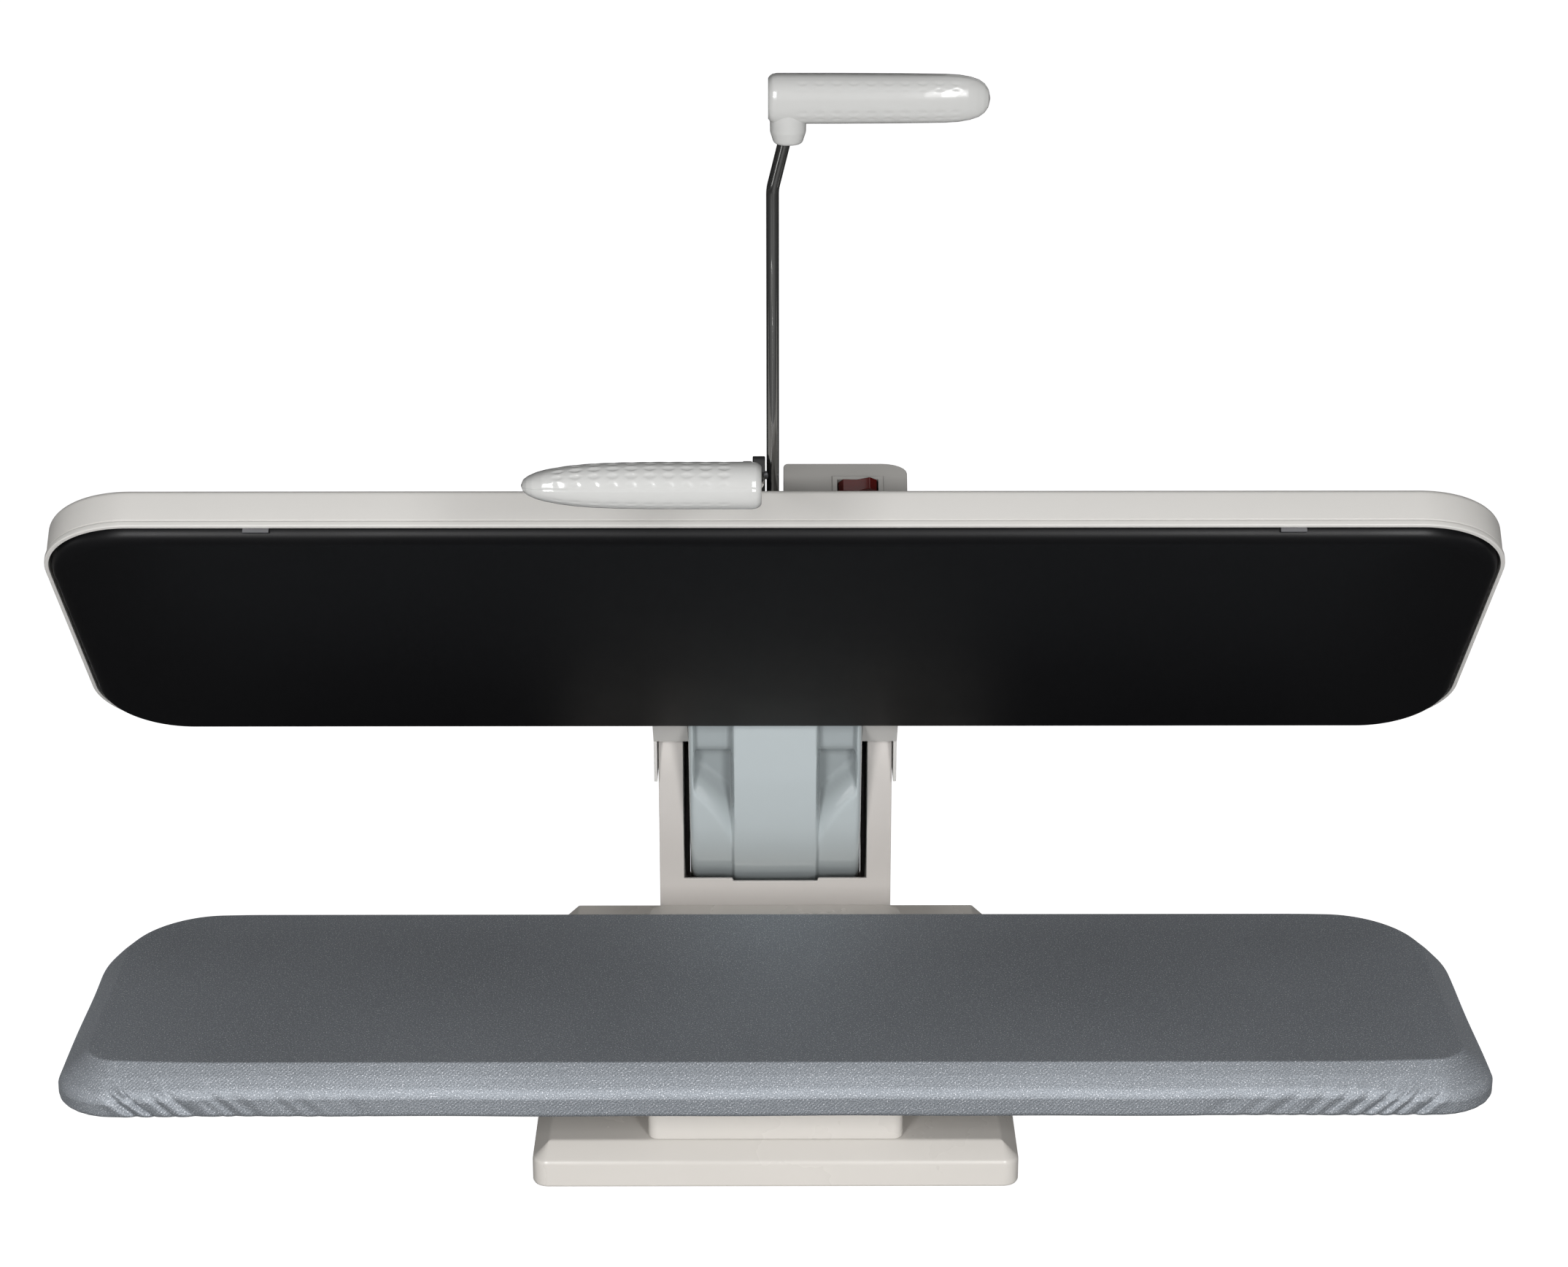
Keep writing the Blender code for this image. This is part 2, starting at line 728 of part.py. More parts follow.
def bore_across(obj, name, half, stand):
    """Bores for the hinge shaft and for the stop bar."""
    bar_reach, bar_height = stop_bar_place()
    shaft_bore = SHAFT_RADIUS + SEAT_GAP
    bar_bore = STOP_BAR_RADIUS + SEAT_GAP
    combine(obj, crosswise(f"{name}_shaft_bore", 0, HINGE_HEIGHT, shaft_bore, half, stand))
    combine(obj, crosswise(f"{name}_bar_bore", bar_reach, bar_height, bar_bore, half, stand))


def make_column_housing(stand, paints):
    bottom = BASE_TOP + SEAT_GAP
    half = COLUMN_WIDTH / 2
    rings = extrusion(column_outline(0, bottom), -half, half)
    column = body("column_housing", rings, paints["column"], stand)
    cut_column_slot(column, stand, bottom)
    cut_cheek_pockets(column, stand, bottom)
    cut_frame_space(column, stand, bottom)
    cut_beam_notch(column, stand)
    bore_across(column, "column", column_skin() + SEAT_GAP, stand)


def make_hinge_frame(stand, paints):
    """Two upright plates on one floor, which hold the shaft and the stop bar."""
    bottom = BASE_TOP + SEAT_GAP
    outer = frame_outer()
    eye = (0, HINGE_HEIGHT)
    lug = stop_bar_place()
    outline = [(FRAME_HALF_DEPTH, bottom)]
    outline += [polar(FRAME_EYE, angle, eye) for angle in spread(-math.pi / 8, math.pi / 8, 2)]
    outline += [polar(FRAME_LUG, angle, lug) for angle in spread(-math.pi / 8, math.pi * 3 / 4, EDGE_STEPS)]
    outline += [polar(FRAME_EYE, angle, eye) for angle in spread(math.pi * 3 / 4, math.pi, 2)]
    outline.append((-FRAME_HALF_DEPTH, bottom))
    start = outer - FRAME_PLATE
    frame = body("hinge_frame", extrusion(outline, start, outer), paints["steel"], stand)
    combine(frame, tool("frame_left", extrusion(outline, -outer, -start), stand), "UNION")
    floor = block(-outer, outer, FRAME_HALF_DEPTH, -FRAME_HALF_DEPTH, bottom, bottom + FRAME_PLATE)
    combine(frame, tool("frame_floor", floor, stand), "UNION")
    bore_across(frame, "frame", outer + OVERRUN, stand)


def make_frame_bolts(stand, paints):
    height = BASE_TOP + FRAME_PLATE + 2 * SEAT_GAP
    profile = [(FRAME_BOLT_RADIUS, 0), (FRAME_BOLT_RADIUS, FRAME_BOLT_HEAD)]
    rings = turned(at(0, 0, 0), "Z", profile, BOLT_SIDES)
    places = [at(x, 0, height) for x in (-FRAME_BOLT_PLACE, FRAME_BOLT_PLACE)]
    copies("frame_bolt", rings, places, paints["steel"], stand)


def make_hinge_shaft(stand, paints):
    half = frame_outer() + SHAFT_END
    profile = [(SHAFT_RADIUS, -half), (SHAFT_RADIUS, half)]
    rings = turned(at(0, 0, HINGE_HEIGHT), "X", profile, ROUND_SIDES)
    body("hinge_shaft", rings, paints["steel"], stand)


def make_shaft_clips(stand, paints):
    bore = SHAFT_RADIUS + SEAT_GAP
    outer = SHAFT_RADIUS + CLIP_RING_WALL
    for name, side in (("shaft_clip_left", -1), ("shaft_clip_right", 1)):
        near = side * (frame_outer() + SEAT_GAP)
        far = near + side * CLIP_RING
        profile = [(bore, near), (outer, near), (outer, far), (bore, far)]
        ring = turned(at(0, 0, HINGE_HEIGHT), "X", profile, ROUND_SIDES)
        body(name, ring, paints["black"], stand, closed=True)


def make_stop_bar(stand, paints):
    """The bar on which the open arm rests, in its rubber sleeve."""
    bar_reach, bar_height = stop_bar_place()
    centre = at(0, bar_reach, bar_height)
    profile = [(STOP_BAR_RADIUS, -frame_outer()), (STOP_BAR_RADIUS, frame_outer())]
    body("stop_bar", turned(centre, "X", profile, SMALL_SIDES), paints["steel"], stand)
    length = COLUMN_SLOT / 2 - RUNNING_GAP
    bore = STOP_BAR_RADIUS + SEAT_GAP
    sleeve = STOP_BAR_RADIUS + STOP_SLEEVE_WALL
    profile = [(bore, -length), (sleeve, -length), (sleeve, length), (bore, length)]
    body("stop_sleeve", turned(centre, "X", profile, SMALL_SIDES), paints["rubber"], stand, closed=True)


def make_back_cover(stand, paints):
    """The panel that closes the column at the back, with its vents."""
    bottom = BASE_TOP + SEAT_GAP
    half = COLUMN_SLOT / 2 - SEAT_GAP
    inner = -COLUMN_RADIUS + BACK_COVER_SHEET
    rings = block(-half, half, inner, -COLUMN_RADIUS, bottom, HINGE_HEIGHT)
    panel = body("column_back_cover", rings, paints["column"], stand)
    for row in range(VENT_ROWS):
        low = bottom + VENT_LOW + row * VENT_PITCH
        back = -COLUMN_RADIUS - OVERRUN
        vent = block(-VENT_HALF_LENGTH, VENT_HALF_LENGTH, inner + OVERRUN, back, low, low + VENT_HEIGHT)
        combine(panel, tool(f"vent_{row}", vent, stand))


def make_spring(stand, paints):
    """Torsion spring round the shaft, whose leg pushes against the stop bar."""
    bar_reach, bar_height = stop_bar_place()
    rise = bar_height - HINGE_HEIGHT
    end_angle = math.atan2(rise, bar_reach)
    leg = math.hypot(bar_reach, rise) - STOP_BAR_RADIUS - STOP_SLEEVE_WALL - SPRING_LEG_GAP
    steps = SPRING_TURNS * SPRING_POINTS
    half = SPRING_TURNS * SPRING_PITCH / 2
    places = []
    for step in range(steps + 1):
        angle = end_angle - 2 * math.pi * (steps - step) / SPRING_POINTS
        reach, height = polar(SPRING_RADIUS, angle, (0, HINGE_HEIGHT))
        places.append(at(-half + SPRING_PITCH * step / SPRING_POINTS, reach, height))
    reach, height = polar(leg, end_angle, (0, HINGE_HEIGHT))
    places.append(at(half + SPRING_PITCH / SPRING_POINTS, reach, height))
    rod("lift_spring", places, SPRING_WIRE, paints["steel"], stand)


def arm_line(radius):
    """The arm's underside at one depth: round the hinge, then straight up to the head."""
    line = []
    for angle in spread(ARM_BACK_ANGLE, ARM_LEAVE_ANGLE, ARM_ARC_STEPS):
        line.append((polar(1, angle), polar(radius, angle), radius * (angle - POCKET_START_ANGLE)))
    normal, leave, travelled = line[-1]
    run = (ARM_REACH - leave[0]) / -normal[1]
    for along in spread(0, run, ARM_STRAIGHT_STEPS)[1:]:
        place = (leave[0] - along * normal[1], leave[1] + along * normal[0])
        line.append((normal, place, travelled + along))
    return line


def arm_depth(x, travelled):
    """How far the arm's underside lies behind the tongue's surface."""
    across = abs(x)
    if across <= TONGUE_WIDTH / 2:
        return 0.0
    foot = TONGUE_WIDTH / 2 + TONGUE_SIDE
    pocket = 0.0
    if across < ARM_WIDTH / 2 - ARM_SIDE_LAND:
        growth = min(travelled * POCKET_GROWTH_SHARE, POCKET_DEPTH)
        pocket = max(0.0, growth - POCKET_SLOPE_SHARE * (across - foot))
    edge = max(0.0, across - (ARM_WIDTH / 2 - ARM_EDGE))
    rounding = ARM_EDGE - math.sqrt(max(0.0, ARM_EDGE**2 - edge**2))
    return TONGUE_PROUD + pocket + rounding


def arm_top():
    """The upper edge of the arm's side plates: round the hinge eye, then straight to the head."""
    end = (ARM_REACH, ARM_TOP_RISE - HINGE_RISE)
    touch = math.atan2(end[1], end[0]) + math.acos(ARM_EYE / math.hypot(*end))
    start = ARM_EYE_START_ANGLE
    edge = [polar(ARM_EYE, angle) for angle in spread(start, touch - 2 * math.pi, ARM_ARC_STEPS)]
    last = edge[-1]
    for share in spread(0, 1, ARM_STRAIGHT_STEPS)[1:]:
        edge.append((last[0] + share * (end[0] - last[0]), last[1] + share * (end[1] - last[1])))
    return edge


def arm_ring(x, wall_depth=None):
    """One slice of the arm across X. A wall depth gives the open channel, none the full side plate."""
    outer = []
    inner = []
    for normal, place, travelled in arm_line(ARM_RADIUS + TONGUE_PROUD):
        depth = arm_depth(x, travelled)
        outer.append((place[0] - normal[0] * depth, place[1] - normal[1] * depth))
        if wall_depth is not None:
            deep = arm_depth(wall_depth, travelled) + ARM_WALL
            inner.append((place[0] - normal[0] * deep, place[1] - normal[1] * deep))
    if wall_depth is None:
        inner = arm_top()
    ring = outer + inner[::-1]
    return [at(x, reach, height + HINGE_RISE) for reach, height in ring]


def make_arm(head, paints):
    half = ARM_WIDTH / 2
    plate = half - ARM_WALL
    land = half - ARM_SIDE_LAND - LEAST_CORNER
    inner = plate - LEAST_CORNER
    foot = TONGUE_WIDTH / 2 + TONGUE_SIDE
    side = [(half, None), (half - ARM_EDGE * EDGE_SHARE, None), (plate, None), (inner, land)]
    pocket = [(x, x) for x in spread(land, foot, POCKET_STEPS)]
    flat = TONGUE_WIDTH / 2 - ARM_WALL
    tongue = [(TONGUE_WIDTH / 2, foot), (flat, flat)]
    right = side + pocket + tongue
    left = [(-x, deep) for x, deep in right]
    rings = [arm_ring(x, deep) for x, deep in left + right[::-1]]
    arm = body("head_arm", rings, paints["enamel"], head)
    bush_outer = SHAFT_RADIUS + SEAT_GAP + BUSH_WALL
    profile = [(bush_outer + SEAT_GAP, -half - OVERRUN), (bush_outer + SEAT_GAP, half + OVERRUN)]
    axis = at(0, 0, HINGE_RISE)
    combine(arm, tool("arm_bore", turned(axis, "X", profile, ROUND_SIDES), head))
    for name, hand in (("hinge_bush_left", -1), ("hinge_bush_right", 1)):
        face = hand * (half + SEAT_GAP)
        tail = face - hand * BUSH_LENGTH
        lip = face + hand * BUSH_FLANGE
        bore = SHAFT_RADIUS + SEAT_GAP
        wide = bush_outer + BUSH_COLLAR
        profile = [(bore, tail), (bush_outer, tail), (bush_outer, face)]
        profile += [(wide, face), (wide, lip), (bore, lip)]
        body(name, turned(axis, "X", profile, ROUND_SIDES), paints["bronze"], head, closed=True)

    low = SHIELD_RISE + SHIELD_SHEET + SEAT_GAP
    normal, leave, _ = arm_line(ARM_RADIUS + TONGUE_PROUD)[ARM_ARC_STEPS]
    rest = ARM_WALL + SEAT_GAP
    slope = normal[0] / -normal[1]
    inside_reach = leave[0] - normal[0] * rest
    inside_height = leave[1] - normal[1] * rest + HINGE_RISE
    back_low = inside_height + slope * (SPINE_BACK_REACH - inside_reach)
    front_low = inside_height + slope * (ARM_REACH - inside_reach)
    outline = [(SPINE_BACK_REACH, back_low), (ARM_REACH, front_low), (ARM_REACH, low)]
    outline += [(SPINE_FRONT_REACH, low), (SPINE_FRONT_REACH, low + SPINE_SHEET)]
    outline.append((SPINE_BACK_REACH, low + SPINE_SHEET))
    width = flat - SEAT_GAP
    body("arm_spine", extrusion(outline, -width, width), paints["steel"], head)
    places = [at(0, reach, low + SPINE_SHEET + SEAT_GAP) for reach in SPINE_SCREW_REACHES]
    copies("spine_screw", screw_head(), places, paints["steel"], head)


def screw_head():
    profile = [(SCREW_RADIUS, 0), (SCREW_RADIUS, SCREW_HEAD / 2), (SCREW_RADIUS / 2, SCREW_HEAD)]
    return turned(at(0, 0, 0), "Z", profile, SMALL_SIDES)


def sole_size():
    return (SOLE_WIDTH / 2, SOLE_FRONT_REACH, SOLE_BACK_REACH, SOLE_CORNER)


def plate_top():
    """Height of what is seated on the plate."""
    return SOLE_THICKNESS + SEAT_GAP


def make_sole_plate(head, paints):
    bottom = edge_arc(SOLE_ROUNDING, SOLE_ROUNDING, SOLE_ROUNDING, -math.pi / 2, 0, EDGE_STEPS)
    rings = layers(sole_size(), bottom + [(0, SOLE_THICKNESS)])
    body("sole_plate", rings, paints["nonstick"], head)


def make_heat_shield(head, paints):
    low = plate_top()
    inside = SHIELD_INSET + SHIELD_SHEET
    steps = [(inside, SHIELD_RISE), (inside, low), (SHIELD_INSET, low)]
    steps.append((SHIELD_INSET, SHIELD_RISE + SHIELD_SHEET))
    body("heat_shield", layers(sole_size(), steps), paints["aluminium"], head)


def make_heating_element(head, paints):
    """One long loop of tube, whose ends stand apart at the back."""
    height = plate_top() + ELEMENT_RADIUS
    half = SOLE_WIDTH / 2 - ELEMENT_INSET
    front = SOLE_FRONT_REACH - ELEMENT_INSET
    back = SOLE_BACK_REACH + ELEMENT_INSET
    bend = (front - back) / 2
    middle = (front + back) / 2
    places = [at(-ELEMENT_GAP / 2, back, height)]
    for side, first in ((-1, -math.pi / 2), (1, math.pi / 2)):
        for angle in spread(first, -first, CORNER_STEPS * 2):
            x = side * (half - bend + bend * math.cos(angle))
            places.append(at(x, middle + bend * math.sin(angle), height))
    places.append(at(ELEMENT_GAP / 2, back, height))
    rod("heating_element", places, ELEMENT_RADIUS, paints["steel"], head, 2)


def make_insulation_mat(head, paints):
    low = plate_top() + 2 * ELEMENT_RADIUS + SEAT_GAP
    high = low + MAT_THICKNESS
    wall = SHIELD_INSET + SHIELD_SHEET + SEAT_GAP
    mat = body("insulation_mat", layers(sole_size(), [(wall, low), (wall, high)]), paints["foam"], head)
    half = THERMOSTAT_RADIUS + RUNNING_GAP
    left = THERMOSTAT_PLACE - half
    front = THERMOSTAT_REACH + half
    space = block(left, left + 2 * half, front, front - 2 * half, low - OVERRUN, high + OVERRUN)
    combine(mat, tool("thermostat_space", space, head))


def make_thermostat(head, paints):
    profile = [(THERMOSTAT_RADIUS, 0), (THERMOSTAT_RADIUS, THERMOSTAT_HEIGHT)]
    centre = at(THERMOSTAT_PLACE, THERMOSTAT_REACH, plate_top())
    body("thermostat", turned(centre, "Z", profile, ROUND_SIDES), paints["cream"], head)


def make_head_casing(head, paints):
    size = (CASING_WIDTH / 2, CASING_FRONT, CASING_BACK, CASING_CORNER)
    face = LIP_PROUD
    outer = [(0, RIM_LOW), (0, RIM_LOW + LIP_HEIGHT), (face, RIM_LOW + LIP_HEIGHT + LIP_PROUD)]
    outer += edge_arc(face + RIM_EDGE, RIM_HIGH - RIM_EDGE, RIM_EDGE, 0, math.pi / 2, EDGE_STEPS)
    outer += [(PLATEAU_INSET - RIM_EDGE, PLATEAU_RISE - RIM_EDGE / 4), (PLATEAU_INSET, PLATEAU_RISE)]
    wall = face + CASING_WALL
    inner = [(PLATEAU_INSET, PLATEAU_RISE - CASING_WALL)]
    inner += [(wall + RIM_EDGE, RIM_HIGH - CASING_WALL), (wall, RIM_HIGH - RIM_EDGE), (wall, RIM_LOW)]
    casing = body("head_casing", layers(size, inner + outer), paints["casing"], head)
    half = ARM_WIDTH / 2 + ARM_PASS
    front = CASING_BACK + PLATEAU_INSET
    back = CASING_BACK - OVERRUN
    passage = block(-half, half, front, back, RIM_LOW - OVERRUN, PLATEAU_RISE + OVERRUN)
    combine(casing, tool("arm_passage", passage, head))


def make_casing_spacers(head, paints):
    """Posts that carry the casing's top, and the screws over them."""
    low = SHIELD_RISE + SHIELD_SHEET + SEAT_GAP
    profile = [(SPACER_RADIUS, low), (SPACER_RADIUS, PLATEAU_RISE - CASING_WALL - SEAT_GAP)]
    places = [at(x, SPACER_REACH, 0) for x in (-SPACER_PLACE, SPACER_PLACE)]
    copies("casing_spacer", turned(at(0, 0, 0), "Z", profile, SMALL_SIDES), places, paints["steel"], head)
    places = [place + at(0, 0, PLATEAU_RISE + SEAT_GAP) for place in places]
    copies("casing_screw", screw_head(), places, paints["steel"], head)


def make_plate_clips(head, paints):
    """Angled clips between the plate and the casing, and the screws on them."""
    far = CASING_FRONT - LIP_PROUD - CASING_WALL - SEAT_GAP
    near = far - CLIP_SHEET
    top = plate_top()
    foot = SOLE_FRONT_REACH - CLIP_FOOT
    outline = [(foot, top), (near, top), (near, top - CLIP_DROP)]
    outline += [(far, top - CLIP_DROP), (far, top + CLIP_SHEET), (foot, top + CLIP_SHEET)]
    places = [at(x, 0, 0) for x in (-CLIP_PLACE, CLIP_PLACE)]
    rings = extrusion(outline, -CLIP_WIDTH / 2, CLIP_WIDTH / 2)
    copies("plate_clip", rings, places, paints["steel"], head)
    seat = at(0, SOLE_FRONT_REACH - CLIP_FOOT / 2, top + CLIP_SHEET + SEAT_GAP)
    copies("clip_screw", screw_head(), [place + seat for place in places], paints["steel"], head)


def roof_line_inside(height, seat):
    """Where the inner side of the hood's sloping roof comes down to a height."""
    start = polar(HOOD_RADIUS, HOOD_ROOF_ANGLE)
    end = (HOOD_ROOF_REACH, seat + HOOD_SHELL)
    fall = (start[1] - end[1]) / (end[0] - start[0])
    drop = HOOD_SHELL * math.hypot(1, fall)
    return end[0] + (end[1] - drop - height) / fall, height


def make_hood(head, paints):
    half = COLUMN_WIDTH / 2 + RUNNING_GAP + HOOD_CHEEK
    wall_reach = CASING_BACK - HOOD_CASING_GAP
    seat = PLATEAU_RISE + SEAT_GAP - HINGE_RISE
    lip = polar(HOOD_LIP_RADIUS, HOOD_LIP_ANGLE)
    roof_end = [(wall_reach, seat), (HOOD_ROOF_REACH, seat), (HOOD_ROOF_REACH, seat + HOOD_SHELL)]
    turns = spread(HOOD_ROOF_ANGLE, HOOD_BACK_ANGLE, HOOD_ARC_STEPS)
    outline = [polar(HOOD_RADIUS, angle) for angle in turns]
    outline += [polar(HOOD_CHEEK_RADIUS, HOOD_BACK_ANGLE), polar(HOOD_CHEEK_RADIUS, HOOD_FLANGE_ANGLE)]
    outline += [polar(HOOD_RADIUS, HOOD_FLANGE_ANGLE), lip, (wall_reach, lip[1])] + roof_end
    raised = [(reach, height + HINGE_RISE) for reach, height in outline]
    hood = body("rear_hood", extrusion(raised, -half, half), paints["casing"], head)

    inside = half - HOOD_CHEEK
    deep = HOOD_RADIUS - HOOD_SHELL
    floor = lip[1] + HOOD_SHELL
    back = HOOD_BACK_ANGLE + HOOD_CUT_ANGLE
    cut = [polar(deep, angle) for angle in spread(HOOD_ROOF_ANGLE, back, HOOD_ARC_STEPS)]
    cut.append(polar(HOOD_RADIUS + OVERRUN, back))
    turns = spread(math.pi, math.pi * 3 / 2, HOOD_ARC_STEPS)
    cut += [polar(HOOD_RADIUS + OVERRUN, angle) for angle in turns]
    cut += [polar(HOOD_RADIUS + OVERRUN * 2, HOOD_FLANGE_ANGLE - HOOD_CUT_ANGLE)]
    cut += [(lip[0] + OVERRUN, lip[1] - OVERRUN), lip, (lip[0], floor)]
    cut += [(wall_reach - HOOD_SHELL, floor), (wall_reach - HOOD_SHELL, seat + HOOD_SHELL)]
    cut += [(wall_reach, seat + HOOD_SHELL), (wall_reach, seat - OVERRUN)]
    cut.append(roof_line_inside(seat - OVERRUN, seat))
    cut = [(reach, height + HINGE_RISE) for reach, height in cut]
    combine(hood, tool("hood_space", extrusion(cut, -inside, inside), head))
    pass_half = ARM_WIDTH / 2 + ARM_PASS
    passage = block(
        -pass_half,
        pass_half,
        wall_reach + OVERRUN,
        0,
        lip[1] - OVERRUN + HINGE_RISE,
        ARM_TOP_RISE + HOOD_PASS_RISE,
    )
    combine(hood, tool("hood_passage", passage, head))


def box_outline(wall):
    """Front view of the control box: a tight corner on its left and a long soft one on its right."""
    left = BOX_LEFT + wall
    right = BOX_LEFT + BOX_WIDTH - wall
    top = BOX_RISE - wall
    small = max(BOX_LEFT_ROUNDING - wall, LEAST_CORNER)
    outline = [(right, PLATEAU_RISE + SEAT_GAP)]
    for angle in spread(0, math.pi / 2, CORNER_STEPS):
        x = right - BOX_RIGHT_ROUNDING_X * (1 - math.cos(angle))
        outline.append((x, top - BOX_RIGHT_ROUNDING_Z * (1 - math.sin(angle))))
    for angle in spread(math.pi / 2, math.pi, EDGE_STEPS):
        outline.append((left + small + small * math.cos(angle), top - small + small * math.sin(angle)))
    outline.append((left, PLATEAU_RISE + SEAT_GAP))
    return outline


def front_ring(half_width, half_height, reach):
    """An upright rectangle round the switch's middle."""
    middle = BOX_RISE - SWITCH_DROP
    corners = ((-1, -1), (1, -1), (1, 1), (-1, 1))
    return [
        at(SWITCH_PLACE + side * half_width, reach, middle + end * half_height) for side, end in corners
    ]


def make_controls(head, switch, paints):
    front = BOX_FRONT_REACH
    rings = [[at(x, reach, height) for x, height in box_outline(0)] for reach in (front, front - BOX_DEPTH)]
    box = body("control_box", rings, paints["box"], head)
    low = PLATEAU_RISE + OVERRUN
    hollow = [(x, height if height > low else PLATEAU_RISE) for x, height in box_outline(BOX_WALL)]
    reaches = (front - BOX_WALL, front - BOX_DEPTH + BOX_WALL)
    rings = [[at(x, reach, height) for x, height in hollow] for reach in reaches]
    combine(box, tool("box_hollow", rings, head))

    half_width = BEZEL_WIDTH / 2
    half_height = BEZEL_HEIGHT / 2
    neck = BEZEL_FRAME / 3
    gap = SEAT_GAP
    hole = (half_width - neck + gap, half_height - neck + gap)
    rings = [front_ring(*hole, front + OVERRUN), front_ring(*hole, front - BOX_WALL - OVERRUN)]
    combine(box, tool("switch_hole", rings, head))
    bore = (half_width - BEZEL_FRAME, half_height - BEZEL_FRAME * BEZEL_SLIM_SHARE)
    rings = [
        front_ring(*bore, front + BEZEL_PROUD),
        front_ring(half_width, half_height, front + BEZEL_PROUD),
        front_ring(half_width, half_height, front + gap),
        front_ring(half_width - neck, half_height - neck, front + gap),
        front_ring(half_width - neck, half_height - neck, front - BEZEL_DEPTH),
        front_ring(*bore, front - BEZEL_DEPTH),
    ]
    body("switch_bezel", rings, paints["box"], head, closed=True)

    half = bore[0] - RUNNING_GAP
    tall = bore[1] - SEAT_GAP
    ends = half - ROCKER_END
    outline = [(-half, ROCKER_BODY / 2), (half, ROCKER_BODY / 2), (half, -ROCKER_BODY / 4)]
    outline += [(ends, -ROCKER_BODY / 4 - ROCKER_PEAK), (0, -ROCKER_BODY / 4 - ROCKER_VALLEY)]
    outline += [(-ends, -ROCKER_BODY / 4 - ROCKER_PEAK), (-half, -ROCKER_BODY / 4)]
    rings = [[Vector((x, y, height)) for x, y in outline] for height in (-tall, tall)]
    body("power_switch", rings, paints["red"], switch)


def make_bracket(head, paints):
    """The upright ear that carries both levers on one pin."""
    left_hub = LEVER_MIRROR_PLACE - ROD_OFFSET - HUB_WIDTH / 2
    near = left_hub - RUNNING_GAP
    far = near - EAR_THICKNESS
    low = PLATEAU_RISE + SEAT_GAP
    centre = (PIVOT_REACH, PIVOT_RISE)
    outline = [(PIVOT_REACH + EAR_RADIUS, low)]
    outline += [polar(EAR_RADIUS, angle, centre) for angle in spread(0, math.pi, CORNER_STEPS * 2)]
    outline.append((PIVOT_REACH - EAR_RADIUS, low))
    ear = body("lever_bracket", extrusion(outline, far, near), paints["black"], head)
    half_foot = EAR_FOOT / 2
    foot = block(
        far - EAR_FOOT,
        near,
        PIVOT_REACH + half_foot,
        PIVOT_REACH - half_foot,
        low,
        low + EAR_FOOT_SHEET,
    )
    combine(ear, tool("bracket_foot", foot, head), "UNION")
    bore = PIVOT_PIN_RADIUS + SEAT_GAP
    centre = at(0, PIVOT_REACH, PIVOT_RISE)
    rings = turned(centre, "X", [(bore, far - OVERRUN), (bore, near + OVERRUN)], SMALL_SIDES)
    combine(ear, tool("ear_bore", rings, head))
    reaches = (PIVOT_REACH - half_foot / 2, PIVOT_REACH + half_foot / 2)
    places = [at(far - EAR_FOOT / 2, reach, low + EAR_FOOT_SHEET + SEAT_GAP) for reach in reaches]
    copies("bracket_screw", screw_head(), places, paints["steel"], head)
    tip = LEVER_MIRROR_PLACE + ROD_OFFSET + ROD_RADIUS - PIN_SHORT
    flange = far - SEAT_GAP
    profile = [(PIVOT_PIN_RADIUS * 2, flange - PIN_HEAD), (PIVOT_PIN_RADIUS * 2, flange)]
    profile += [(PIVOT_PIN_RADIUS, flange), (PIVOT_PIN_RADIUS, tip)]
    body("pivot_pin", turned(centre, "X", profile, SMALL_SIDES), paints["steel"], head)


def oval(x, half_thickness, half_height):
    """A slightly squared oval across the grip."""
    ring = []
    for step in range(GRIP_SIDES):
        angle = 2 * math.pi * step / GRIP_SIDES
        across, up = math.cos(angle), math.sin(angle)
        y = half_thickness * math.copysign(abs(across) ** GRIP_SQUARE_SHARE, across)
        z = half_height * math.copysign(abs(up) ** GRIP_SQUARE_SHARE, up)
        ring.append(Vector((x, y, GRIP_DISTANCE + z)))
    return ring


def grip_rings(hand):
    rings = []
    for place_share, size_share in GRIP_OUTLINE_SHARES:
        x = hand * (GRIP_START + GRIP_LENGTH * place_share)
        rings.append(oval(x, GRIP_HALF_THICKNESS * size_share, GRIP_HALF_HEIGHT * size_share))
    return rings


